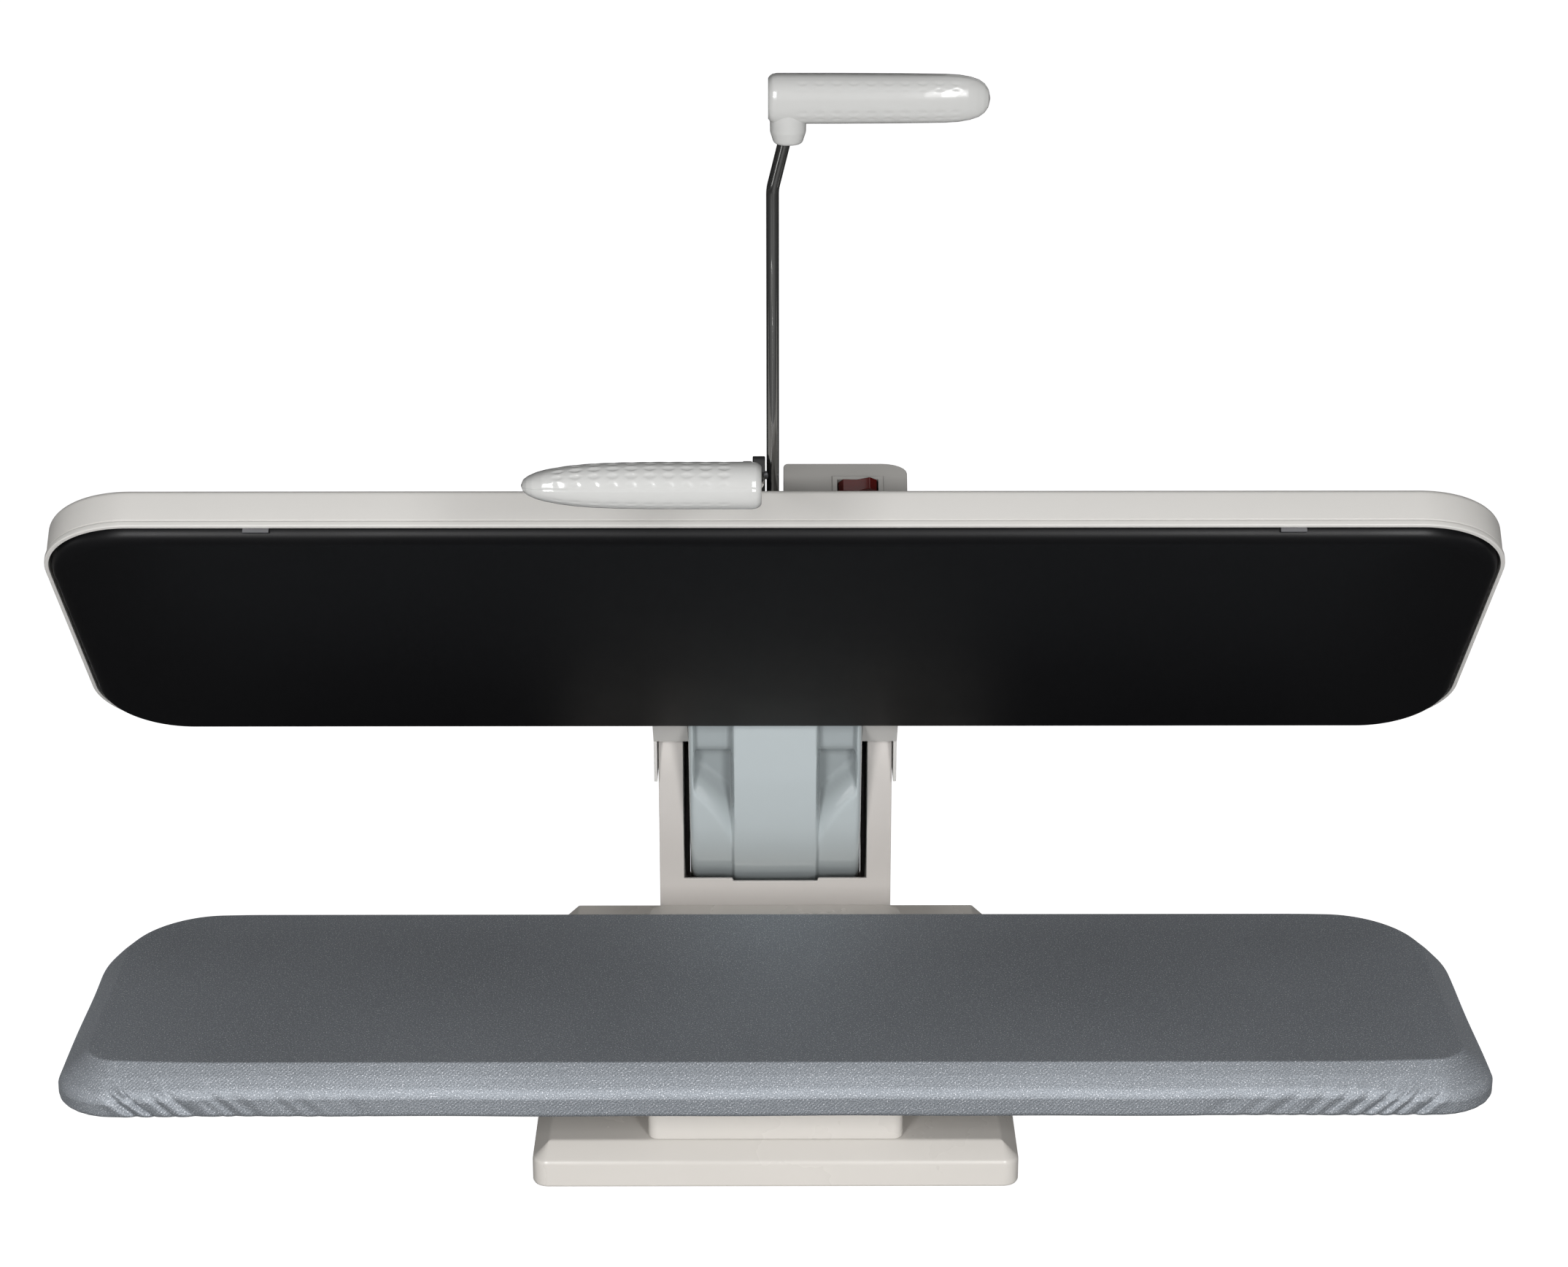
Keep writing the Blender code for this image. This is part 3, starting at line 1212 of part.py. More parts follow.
def make_lever(name, hand, frame, paints):
    """One lever: a bent rod from the pivot, and a grip in two halves that clamps its end."""
    boss_x = hand * (ROD_OFFSET + ROD_BEND)
    rod_x = hand * ROD_OFFSET
    start = -ROD_TAIL if hand > 0 else HUB_SOCKET
    ease = ROD_BEND * ROD_EASE_SHARE
    places = [
        Vector((rod_x, 0, start)),
        Vector((rod_x, 0, ROD_STRAIGHT - ease)),
        Vector((rod_x + hand * ease * BEND_SHARE, 0, ROD_STRAIGHT + ease)),
        Vector((boss_x - hand * ease * BEND_SHARE, 0, BOSS_LOW - 2 * ease)),
        Vector((boss_x, 0, BOSS_LOW - SEAT_GAP)),
        Vector((boss_x, 0, ROD_END)),
    ]
    bar = rod(f"{name}_rod", places, ROD_RADIUS, paints["chrome"], frame, 3)
    bore = [(PIVOT_PIN_RADIUS + SEAT_GAP, -HUB_RADIUS), (PIVOT_PIN_RADIUS + SEAT_GAP, HUB_RADIUS)]
    cutter = turned(Vector((rod_x, 0, 0)), "X", bore, SMALL_SIDES)
    if hand > 0:
        mesh = bpy.data.meshes.new_from_object(bar)
        bpy.data.objects.remove(bar)
        bar = put(f"{name}_rod", mesh, paints["chrome"], frame)
        combine(bar, tool(f"{name}_pin_bore", cutter, frame))
    else:
        half = HUB_WIDTH / 2
        profile = [(HUB_RADIUS, -half), (HUB_RADIUS, half)]
        rings = turned(Vector((rod_x, 0, 0)), "X", profile, ROUND_SIDES)
        hub = body(f"{name}_hub", rings, paints["black"], frame)
        combine(hub, tool(f"{name}_pin_bore", cutter, frame))

    profile = [(BOSS_RADIUS * share, BOSS_LOW + BOSS_RADIUS * rise) for share, rise in BOSS_FOOT_SHARES]
    profile.append((BOSS_RADIUS, GRIP_DISTANCE))
    boss = tool(f"{name}_boss", turned(Vector((boss_x, 0, 0)), "Z", profile, ROUND_SIDES), frame)
    hole = [(ROD_RADIUS + SEAT_GAP, BOSS_LOW - OVERRUN), (ROD_RADIUS + SEAT_GAP, ROD_END + SEAT_GAP)]
    socket = tool(f"{name}_socket", turned(Vector((boss_x, 0, 0)), "Z", hole, ROUND_SIDES), frame)
    reach = GRIP_HALF_HEIGHT * 2
    low, high = BOSS_LOW - OVERRUN, GRIP_DISTANCE + reach
    ends = sorted((hand * (GRIP_START - BOSS_RADIUS), hand * (GRIP_START + GRIP_LENGTH + OVERRUN)))
    halves = (("front", GRIP_SEAM + SEAT_GAP / 2, -1), ("back", GRIP_SEAM - SEAT_GAP / 2, 1))
    for half_name, seam, outward in halves:
        piece = body(f"{name}_grip_{half_name}", grip_rings(hand), paints["grip"], frame)
        combine(piece, boss, "UNION")
        combine(piece, socket)
        other_front, other_back = (seam, -reach) if outward < 0 else (reach, seam)
        cutter = block(ends[0], ends[1], other_front, other_back, low, high)
        combine(piece, tool(f"{name}_{half_name}_cut", cutter, frame))


STAND_PIECES = (
    make_base_shell,
    make_cord_gland,
    make_base_plate,
    make_feet,
    make_terminal_block,
    make_pedestal,
    make_board_bar,
    make_board_pan,
    make_foam_pad,
    make_board_cover,
    make_column_housing,
    make_back_cover,
    make_hinge_frame,
    make_frame_bolts,
    make_hinge_shaft,
    make_shaft_clips,
    make_stop_bar,
)
HEAD_PIECES = (
    make_sole_plate,
    make_heating_element,
    make_insulation_mat,
    make_heat_shield,
    make_thermostat,
    make_head_casing,
    make_casing_spacers,
    make_plate_clips,
)


def main():
    clear_scene()
    bpy.data.materials.new("helper")
    paints = {
        "base": paint("base_plastic", (0.66, 0.63, 0.59), 0.30),
        "column": paint("column_plastic", (0.60, 0.57, 0.54), 0.38),
        "casing": paint("casing_plastic", (0.60, 0.59, 0.57), 0.32),
        "box": paint("box_plastic", (0.42, 0.41, 0.39), 0.38),
        "grip": paint("grip_plastic", (0.72, 0.72, 0.71), 0.16),
        "enamel": paint("arm_enamel", (0.43, 0.47, 0.48), 0.14),
        "nonstick": paint("sole_coating", (0.006, 0.006, 0.007), 0.34),
        "aluminium": paint("thin_aluminium", (0.60, 0.60, 0.61), 0.42, 1.0),
        "cloth": paint("cover_cloth", (0.24, 0.26, 0.29), 0.55, 0.2),
        "foam": paint("pale_felt", (0.62, 0.58, 0.50), 0.95),
        "steel": paint("plain_steel", (0.45, 0.45, 0.46), 0.38, 1.0),
        "chrome": paint("chromed_rod", (0.62, 0.62, 0.60), 0.10, 1.0),
        "bronze": paint("bearing_bronze", (0.50, 0.34, 0.16), 0.40, 1.0),
        "black": paint("black_plastic", (0.012, 0.012, 0.013), 0.40),
        "rubber": paint("black_rubber", (0.02, 0.02, 0.02), 0.85),
        "red": paint("switch_red", (0.20, 0.008, 0.006), 0.22),
        "cream": paint("cream_ceramic", (0.70, 0.66, 0.55), 0.60),
    }
    stand = Frame(None, (0, HINGE_PLACE, 0))
    hinge = empty("head_hinge", None, (0, HINGE_PLACE, HINGE_HEIGHT), -OPEN_ANGLE)
    head = Frame(hinge, (0, 0, -HINGE_RISE))
    pivot = (LEVER_MIRROR_PLACE, -PIVOT_REACH, PIVOT_RISE - HINGE_RISE)
    right_lever = Frame(empty("right_lever_pivot", hinge, pivot, RIGHT_LEVER_ANGLE))
    left_lever = Frame(empty("left_lever_pivot", hinge, pivot, LEFT_LEVER_ANGLE))
    switch_height = BOX_RISE - SWITCH_DROP - HINGE_RISE
    switch_place = at(SWITCH_PLACE, BOX_FRONT_REACH - ROCKER_AXIS_DEPTH, switch_height)
    switch = Frame(empty("switch_pivot", hinge, switch_place, 0, -ROCKER_TILT))

    for make in STAND_PIECES:
        make(stand, paints)
    make_spring(stand, paints)
    make_arm(head, paints)
    for make in HEAD_PIECES:
        make(head, paints)
    make_hood(head, paints)
    make_controls(head, switch, paints)
    make_bracket(head, paints)
    make_lever("right", 1, right_lever, paints)
    make_lever("left", -1, left_lever, paints)


if __name__ == "__main__":
    main()
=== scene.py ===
"""Looks of an ironing press: its padded board, hot plate, casing, arm, base and levers.

Lengths are in metres and +Z is up. Reach is the distance in front of the main hinge, and rise the
height over the board's top. Head pieces are drawn as they lie when the head is shut, and are then
turned up with it.
"""

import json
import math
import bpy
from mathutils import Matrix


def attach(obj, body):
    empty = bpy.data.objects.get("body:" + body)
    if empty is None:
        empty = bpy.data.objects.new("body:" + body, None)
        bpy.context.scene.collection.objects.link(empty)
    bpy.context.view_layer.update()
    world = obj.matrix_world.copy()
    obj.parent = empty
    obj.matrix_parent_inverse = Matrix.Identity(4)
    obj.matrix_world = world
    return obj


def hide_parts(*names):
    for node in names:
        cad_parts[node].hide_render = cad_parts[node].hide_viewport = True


bl_info = {
    "name": "Ironing press dressing",
    "version": (1, 0, 0),
    "blender": (4, 5, 0),
    "location": "3D View > Sidebar > Press",
    "description": "Builds the visible surfaces of an ironing press over its packed frame",
    "category": "Add Mesh",
}

import bmesh
import bpy
import numpy as np
from bpy.props import FloatProperty, FloatVectorProperty, IntProperty, PointerProperty
from mathutils import Matrix, Vector

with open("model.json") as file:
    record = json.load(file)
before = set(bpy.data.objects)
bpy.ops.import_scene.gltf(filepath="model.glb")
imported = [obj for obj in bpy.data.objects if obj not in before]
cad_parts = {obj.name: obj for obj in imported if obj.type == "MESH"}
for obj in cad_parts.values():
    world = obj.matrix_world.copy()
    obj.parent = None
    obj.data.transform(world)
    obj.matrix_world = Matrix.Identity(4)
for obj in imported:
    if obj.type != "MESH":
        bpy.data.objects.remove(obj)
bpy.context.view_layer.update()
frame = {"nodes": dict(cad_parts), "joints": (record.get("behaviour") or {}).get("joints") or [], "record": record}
hinge_place = Vector(next(j["pos_m"] for j in frame["joints"] if j["name"] == "head_hinge"))

OPEN_ANGLE = math.radians(46.6)
LOWERED_ANGLE = math.radians(120.8)
HINGE_RISE = 0.0694
BOARD_TOP = hinge_place.z - HINGE_RISE


# Sizes and colours


def length(name, description, default):
    return FloatProperty(name=name, description=description, default=default, unit="LENGTH", precision=4)


def colour(name, description, default):
    return FloatVectorProperty(
        name=name, description=description, default=default, subtype="COLOR", size=3, min=0, max=1
    )


class BoardSizes(bpy.types.PropertyGroup):
    """Sizes of the padded board."""

    width: length("Width", "Length of the board from left to right", 1.022)
    reach: length("Front", "Reach of the board's front edge", 0.4646)
    depth: length("Depth", "Depth of the board from front to back", 0.285)
    corner: length("Back corner", "Radius of the board's back corners seen from above", 0.085)
    front_corner: length("Front corner", "Radius of the board's front corners seen from above", 0.045)
    thickness: length("Thickness", "Height of the padded edge", 0.036)
    shoulder: length("Shoulder", "Depth of the sloping shoulder along the padded edge", 0.018)
    low_rounding: length("Low rounding", "Radius of the padded edge at the bottom", 0.0030)
    hem: length("Hem", "Width of the cloth turned in under the board", 0.028)
    fold: length("Fold", "Depth of the folds near the corners", 0.0024)
    fold_stretch: length("Fold stretch", "Length of edge that the folds take up at a corner", 0.160)
    fold_start: length("Fold start", "Distance of the front folds from the board's end", 0.064)
    back_fold_start: length("Back fold start", "Distance of the back folds from the board's end", 0.066)
    crown: length("Crown", "Height of the padded top's middle over its edge", 0.0015)
    pan_gap: length("Pan gap", "Clearance between the cloth and the pan under it", 0.0012)


class StandSizes(bpy.types.PropertyGroup):
    """Sizes of the base and of the pedestal on it."""

    base_width: length("Base width", "Width of the base", 0.355)
    base_front: length("Base front", "Reach of the base's front", 0.3998)
    base_back: length("Base back", "Distance of the base's back behind the hinge", 0.038)
    base_corner: length("Base corner", "Radius of the base's corners", 0.012)
    base_wall: length("Base wall", "Thickness of the base's wall", 0.003)
    tail_width: length("Tail width", "Width of the tail under the column", 0.185)
    tail_back: length("Tail back", "Distance of the tail's end behind the hinge", 0.0953)
    pedestal_width: length("Pedestal width", "Width of the pedestal", 0.186)
    pedestal_front: length("Pedestal front", "Reach of the pedestal's front", 0.3868)
    pedestal_back: length("Pedestal back", "Reach of the pedestal's back", 0.1026)
    pedestal_corner: length("Pedestal corner", "Radius of the pedestal's corners", 0.008)


class HeadSizes(bpy.types.PropertyGroup):
    """Sizes of the casing and of the hot plate in it."""

    plate_width: length("Plate width", "Length of the hot plate", 1.020)
    plate_front: length("Plate front", "Reach of the hot plate's front edge", 0.4655)
    plate_back: length("Plate back", "Reach of the hot plate's back edge", 0.1555)
    plate_corner: length("Plate corner", "Radius of the hot plate's corners", 0.064)
    plate_thickness: length("Plate thickness", "Thickness of the hot plate", 0.013)
    plate_rounding: length("Plate rounding", "Radius along the hot plate's edge", 0.011)
    casing_width: length("Casing width", "Length of the casing", 1.030)
    casing_front: length("Casing front", "Reach of the casing's front", 0.471)
    casing_back: length("Casing back", "Reach of the casing's back", 0.1505)
    casing_corner: length("Casing corner", "Radius of the casing's corners", 0.068)
    passage: length("Passage", "Width of the arm's passage through the casing", 0.1368)


class ArmSizes(bpy.types.PropertyGroup):
    """Sizes of the cast arm."""

    width: length("Width", "Width of the arm", 0.1355)
    tongue: length("Tongue", "Width of the raised middle", 0.0662)
    proud: length("Proud", "Height of the raised middle over the drum", 0.003)
    radius: length("Radius", "Radius of the drum round the hinge", 0.1185)
    edge: length("Edge", "Radius along the arm's sides", 0.006)
    pocket: length("Pocket", "Depth of the pockets beside the raised middle", 0.019)
    ledge: length("Ledge", "Height of the ledge in each pocket", 0.009)
    ledge_place: length("Ledge place", "Distance of the ledge along the arm", 0.082)
    wall: length("Wall", "Thickness of the casting", 0.003)
    eye: length("Eye", "Radius of the side plates round the hinge", 0.030)


class GripSizes(bpy.types.PropertyGroup):
    """Sizes of the two grips and their rods."""

    length: length("Length", "Length of a grip", 0.1535)
    half_height: length("Half height", "Half the height of a grip", 0.0173)
    half_thickness: length("Half thickness", "Half the thickness of a grip", 0.0151)
    height: length("Height", "Height of a grip's middle over the pin", 0.272)
    gap: length("Gap", "Distance of a grip's end from the pin's middle", 0.0020)
    seam: length("Seam", "Depth of the line between a grip's halves", 0.00035)
    rod: length("Rod radius", "Radius of the chromed rods", 0.0045)
    rod_apart: length("Rod place", "Distance of each rod from the pin's middle", 0.0050)
    rod_offset: length("Rod offset", "How far a rod bends out to its grip", 0.0108)
    rod_tail: length("Rod tail", "Length of the right rod under the pin", 0.016)
    hub: length("Hub radius", "Radius of the left rod's hub", 0.0136)
    hub_thickness: length("Hub thickness", "Thickness of the left rod's hub", 0.009)
    hub_socket: length("Hub socket", "Height over the pin at which the left rod starts", 0.0139)
    dimple: length("Dimple", "Depth of the diamond dimples", 0.0006)
    dimples: IntProperty(name="Dimples", description="Dimples along a grip", default=13, min=1)


class PressColours(bpy.types.PropertyGroup):
    """Colours of the finishes."""

    base: colour("Base", "Cream plastic of the base and pedestal", (0.66, 0.63, 0.59))
    column: colour("Column", "Warm grey plastic of the column", (0.58, 0.548, 0.52))
    casing: colour("Casing", "Warm grey plastic of the casing and hood", (0.62, 0.605, 0.58))
    box: colour("Box", "Grey plastic of the control box", (0.29, 0.282, 0.268))
    grip: colour("Grip", "Pale plastic of the grips", (0.50, 0.50, 0.49))
    arm: colour("Arm", "Blue-grey enamel of the arm", (0.52, 0.57, 0.58))
    plate: colour("Plate", "Black coating of the hot plate", (0.0050, 0.0050, 0.0056))
    cloth: colour("Cloth", "Silver-grey cloth of the cover", (0.300, 0.321, 0.348))
    switch: colour("Switch", "Red of the rocker", (0.070, 0.004, 0.003))


GROUPS = {
    "press_board": BoardSizes,
    "press_stand": StandSizes,
    "press_head": HeadSizes,
    "press_arm": ArmSizes,
    "press_grip": GripSizes,
    "press_colours": PressColours,
}


# Building materials


class Recipe:
    """A material's node tree, built step by step round one Principled shader."""

    def __init__(self, name, base, roughness, metallic=0.0):
        self.material = bpy.data.materials.new(name)
        self.material.use_nodes = True
        self.tree = self.material.node_tree
        self.shader = self.tree.nodes["Principled BSDF"]
        self.shader.inputs["Base Color"].default_value = (*base, 1)
        self.shader.inputs["Roughness"].default_value = roughness
        self.shader.inputs["Metallic"].default_value = metallic
        self.base = base
        self.normal = None

    def node(self, kind, **values):
        made = self.tree.nodes.new(kind)
        for name, value in values.items():
            setattr(made, name, value)
        return made

    def join(self, source, target):
        self.tree.links.new(source, target)

    def place(self):
        return self.node("ShaderNodeTexCoord").outputs["Object"]

    def noise(self, scale, detail=2.0, where=None):
        made = self.node("ShaderNodeTexNoise")
        made.inputs["Scale"].default_value = scale
        made.inputs["Detail"].default_value = detail
        self.join(where or self.place(), made.inputs["Vector"])
        return made.outputs["Fac"]

    def between(self, value, low, high, start, stop):
        """Maps a value between low and high to the stretch between start and stop."""
        made = self.node("ShaderNodeMapRange")
        for name, number in (("From Min", low), ("From Max", high), ("To Min", start), ("To Max", stop)):
            made.inputs[name].default_value = number
        self.join(value, made.inputs["Value"])
        return made.outputs["Result"]

    def mixed(self, share, first, second):
        """A colour between two, by a share: each colour is a value or another node's output."""
        mix = self.node("ShaderNodeMix", data_type="RGBA")
        self.join(share, mix.inputs["Factor"])
        for socket, source in (("A", first), ("B", second)):
            if isinstance(source, tuple):
                mix.inputs[socket].default_value = source
            else:
                self.join(source, mix.inputs[socket])
        return mix.outputs["Result"]

    def tint(self, value, dark, light):
        """Colours the surface between two shades, which are shares of its colour."""
        shades = [(*[c * share for c in self.base], 1) for share in (dark, light)]
        tinted = self.mixed(value, *shades)
        self.join(tinted, self.shader.inputs["Base Color"])
        return tinted

    def rough(self, value, low, high):
        self.join(self.between(value, 0.3, 0.7, low, high), self.shader.inputs["Roughness"])

    def relief(self, value, strength, distance):
        bump = self.node("ShaderNodeBump")
        bump.inputs["Strength"].default_value = strength
        bump.inputs["Distance"].default_value = distance
        self.join(value, bump.inputs["Height"])
        if self.normal:
            self.join(self.normal, bump.inputs["Normal"])
        self.normal = bump.outputs["Normal"]
        self.join(self.normal, self.shader.inputs["Normal"])


def grained(name, base, low, high, grain, relief):
    """A surface with uneven gloss and a fine skin."""
    recipe = Recipe(name, base, (low + high) / 2)
    recipe.rough(recipe.noise(14.0, 4.0), low, high)
    recipe.relief(recipe.noise(grain, 2.0), 0.35, relief)
    return recipe


def moulded(name, base, low, high, grain=900.0, relief=0.00006):
    """Moulded plastic: the fine skin of the mould under a slow drift of tone."""
    recipe = grained(name, base, low, high, grain, relief)
    recipe.tint(recipe.noise(3.0, 3.0), 0.965, 1.035)
    return recipe


def plastic_finish(name, base, low, high):
    return moulded(name, base, low, high).material


def enamel_finish(name, base):
    """Stoved enamel, with the slight ripple it dries to, and painted shade that darkens its colour down in the
    casting's pockets.
    """
    recipe = grained(name, base, 0.10, 0.20, 260.0, 0.00002)
    # Painted shade: a UV layer from the arm says how deep each place lies in a pocket, and the colour darkens to
    # 62% where it is deepest.
    recess = recipe.node("ShaderNodeSeparateXYZ")
    recipe.join(recipe.node("ShaderNodeUVMap", uv_map="recess").outputs["UV"], recess.inputs["Vector"])
    recipe.tint(recess.outputs["X"], 1.0, 0.62)
    recipe.relief(recipe.noise(45.0, 1.0), 0.12, 0.0004)
    recipe.shader.inputs["Coat Weight"].default_value = 0.5
    recipe.shader.inputs["Coat Roughness"].default_value = 0.06
    return recipe.material


def coating_finish(name, base):
    """Black non-stick coating: a fine pebbled skin with a few bright specks in it."""
    recipe = Recipe(name, base, 0.36)
    recipe.shader.inputs["Specular IOR Level"].default_value = 0.16
    recipe.rough(recipe.noise(9.0, 3.0), 0.33, 0.41)
    recipe.relief(recipe.noise(1300.0, 2.0), 0.5, 0.00008)
    specks = recipe.noise(2600.0, 1.0)
    sparkle = recipe.between(specks, 0.78, 0.82, 0.0, 1.0)
    speckled = recipe.mixed(sparkle, (*base, 1), (0.10, 0.10, 0.105, 1))
    recipe.join(speckled, recipe.shader.inputs["Base Color"])
    return recipe.material


def cloth_finish(name, base):
    """Silver-coated twill: slanting ribs, a soft sheen and fine glitter from the coating."""
    recipe = Recipe(name, base, 0.62, 0.75)
    recipe.shader.inputs["Specular IOR Level"].default_value = 0.05
    weave = recipe.node("ShaderNodeUVMap", uv_map="cloth").outputs["UV"]
    ribs = recipe.node("ShaderNodeTexWave", wave_type="BANDS", bands_direction="DIAGONAL")
    ribs.inputs["Scale"].default_value = 210.0
    ribs.inputs["Distortion"].default_value = 0.6
    recipe.join(weave, ribs.inputs["Vector"])
    threads = recipe.between(recipe.noise(1000.0, 3.0, weave), 0.32, 0.68, 0.45, 1.45)
    glitter = recipe.between(recipe.noise(1050.0, 0.0, weave), 0.67, 0.75, 0.0, 0.55)
    cloud = recipe.between(recipe.noise(5.0, 3.0, weave), 0.3, 0.7, 0.0, 1.0)
    shade = recipe.tint(cloud, 0.93, 1.05)
    ribbed = recipe.node("ShaderNodeMix", data_type="RGBA", blend_type="MULTIPLY")
    ribbed.inputs["Factor"].default_value = 0.45
    recipe.join(shade, ribbed.inputs["A"])
    recipe.join(threads, ribbed.inputs["B"])
    bright = recipe.mixed(glitter, ribbed.outputs["Result"], (0.95, 0.96, 1.0, 1))
    recipe.join(bright, recipe.shader.inputs["Base Color"])
    recipe.relief(ribs.outputs["Fac"], 0.30, 0.00025)
    recipe.relief(threads, 0.40, 0.0003)
    recipe.shader.inputs["Sheen Weight"].default_value = 0.03
    recipe.shader.inputs["Sheen Roughness"].default_value = 0.4
    return recipe.material


def metal_finish(name, base, low, high, grain):
    """Bare metal, drawn or rolled lengthways along X."""
    recipe = Recipe(name, base, (low + high) / 2, 1.0)
    drawn = recipe.node("ShaderNodeMapping")
    drawn.inputs["Scale"].default_value = (0.05, 1.0, 1.0)
    recipe.join(recipe.place(), drawn.inputs["Vector"])
    streaks = recipe.noise(grain, 3.0, drawn.outputs["Vector"])
    recipe.rough(streaks, low, high)
    recipe.relief(streaks, 0.15, 0.00005)
    recipe.tint(recipe.noise(20.0, 2.0), 0.92, 1.06)
    return recipe.material


def chrome_finish(name):
    """Bright chrome with a faint drawn line under it."""
    recipe = Recipe(name, (0.55, 0.55, 0.54), 0.08, 1.0)
    recipe.rough(recipe.noise(60.0, 3.0), 0.05, 0.12)
    recipe.relief(recipe.noise(420.0, 2.0), 0.08, 0.00003)
    return recipe.material


def felt_finish(name, base):
    recipe = Recipe(name, base, 0.95)
    recipe.tint(recipe.noise(180.0, 5.0), 0.82, 1.08)
    recipe.relief(recipe.noise(700.0, 4.0), 0.8, 0.0004)
    return recipe.material


def rocker_finish(name, base):
    """Red plastic of the rocker, slightly clear so that its edges glow."""
    recipe = moulded(name, base, 0.16, 0.24, 700.0, 0.00003)
    recipe.shader.inputs["Subsurface Weight"].default_value = 0.2
    recipe.shader.inputs["Subsurface Radius"].default_value = (0.004, 0.0006, 0.0004)
    return recipe.material


FINISHES = {}


def make_finishes(colours):
    """Every finish of the press, by the name of its slot in the record."""
    FINISHES.update(
        base_plastic=plastic_finish("cream_plastic", colours.base, 0.20, 0.32),
        column_plastic=plastic_finish("column_plastic", colours.column, 0.34, 0.44),
        casing_plastic=plastic_finish("casing_plastic", colours.casing, 0.30, 0.42),
        box_plastic=plastic_finish("box_plastic", colours.box, 0.36, 0.46),
        grip_plastic=plastic_finish("grip_plastic", colours.grip, 0.12, 0.20),
        arm_enamel=enamel_finish("arm_enamel", colours.arm),
        sole_coating=coating_finish("plate_coating", colours.plate),
        cover_cloth=cloth_finish("cover_cloth", colours.cloth),
        pale_felt=felt_finish("pale_felt", (0.62, 0.58, 0.50)),
        thin_aluminium=metal_finish("rolled_aluminium", (0.60, 0.60, 0.61), 0.32, 0.48, 240.0),
        plain_steel=metal_finish("zinc_plated_steel", (0.19, 0.19, 0.20), 0.42, 0.56, 320.0),
        chromed_rod=chrome_finish("chromed_rod"),
        bearing_bronze=metal_finish("bearing_bronze", (0.50, 0.34, 0.16), 0.34, 0.46, 400.0),
        black_plastic=plastic_finish("black_plastic", (0.011, 0.011, 0.012), 0.34, 0.46),
        black_rubber=plastic_finish("black_rubber", (0.02, 0.02, 0.02), 0.75, 0.9),
        switch_red=rocker_finish("rocker_red", colours.switch),
        cream_ceramic=felt_finish("cream_ceramic", (0.70, 0.66, 0.55)),
    )


# Building shapes


def steps(start, stop, count):
    return np.linspace(start, stop, count + 1)


def smooth(value):
    """0 below 0, 1 above 1, and a smooth ramp between them."""
    clipped = np.clip(value, 0.0, 1.0)
    return clipped * clipped * (3 - 2 * clipped)


def filleted(points, fineness=6):
    """A line through points of (a, b, radius), with a round of that radius at each."""
    line = []
    for here in range(len(points)):
        corner = Vector(points[here][:2])
        radius = points[here][2]
        before = Vector(points[here - 1][:2]) if here else None
        after = Vector(points[here + 1][:2]) if here + 1 < len(points) else None
        if radius == 0 or before is None or after is None:
            line.append(tuple(corner))
            continue
        back = (before - corner).normalized()
        on = (after - corner).normalized()
        half = back.angle(on) / 2
        run = min(radius / math.tan(half), (before - corner).length * 0.49, (after - corner).length * 0.49)
        centre = corner + (back + on).normalized() * run / math.cos(half)
        first = corner + back * run - centre
        last = corner + on * run - centre
        turn = first.angle_signed(last)
        for share in steps(0, 1, fineness):
            spun = first.copy()
            spun.rotate(Matrix.Rotation(-turn * share, 2))
            line.append(tuple(centre + spun))
    return line


def outline(half_width, front, back, corners, turns=14, runs=(10, 10)):
    """Points and outward directions round a rectangle, seen from above.

    Corners are the radii at the front and at the back, and runs the pieces along each long and each
    short side, which are finer near the corners.
    """
    front_corner, back_corner = corners
    middles = (
        (half_width - front_corner, front - front_corner, front_corner),
        (front_corner - half_width, front - front_corner, front_corner),
        (back_corner - half_width, back + back_corner, back_corner),
        (half_width - back_corner, back + back_corner, back_corner),
    )
    points = []
    ways = []
    for turn, (x, reach, radius) in enumerate(middles):
        start = turn * math.pi / 2
        for angle in steps(start, start + math.pi / 2, turns):
            way = (math.cos(angle), math.sin(angle))
            points.append((x + radius * way[0], reach + radius * way[1]))
            ways.append(way)
        next_x, next_reach, next_radius = middles[(turn + 1) % 4]
        last = points[-1]
        following = (next_x + next_radius * way[0], next_reach + next_radius * way[1])
        for share in steps(0, 1, runs[turn % 2])[1:-1]:
            eased = share - 0.75 * math.sin(2 * math.pi * share) / (2 * math.pi)
            points.append(tuple(a + (b - a) * eased for a, b in zip(last, following)))
            ways.append(way)
    return np.array(points), np.array(ways)


def level(points, rise):
    """A ring at one height from points seen from above."""
    return np.column_stack([points[:, 0], -points[:, 1], np.full(len(points), rise)])


def layered(half_width, front, back, corners, profile, turns=14, runs=(10, 10)):
    """Rings of a body drawn in from its outline, one for each (inset, rise) of the profile."""
    rings = []
    for inset, rise in profile:
        least = [max(corner - inset, 0.0006) for corner in corners]
        points, _ = outline(half_width - inset, front - inset, back + inset, least, turns, runs)
        rings.append(level(points, rise))
    return rings


def turned(profile, sides=48):
    """Rings round Z, one for each (radius, height) of the profile."""
    angles = steps(0, 2 * math.pi, sides)[:-1]
    return [
        np.column_stack([radius * np.cos(angles), radius * np.sin(angles), np.full(sides, height)])
        for radius, height in profile
    ]


def moved(rings, matrix):
    """The rings after a matrix."""
    turn = np.array(matrix.to_3x3())
    shift = np.array(matrix.translation)
    return [np.asarray(ring) @ turn.T + shift for ring in rings]


def skin(rings, bm=None):
    """Adds a surface through equally long rings, with flat ends, to what was modelled."""
    if bm is None:
        bm = bmesh.new()
    loops = [[bm.verts.new(place) for place in ring] for ring in rings]
    for near, far in zip(loops, loops[1:]):
        for here in range(len(near)):
            after = (here + 1) % len(near)
            bm.faces.new((near[here], near[after], far[after], far[here]))
    bm.faces.new(loops[0])
    bm.faces.new(loops[-1])
    return bm


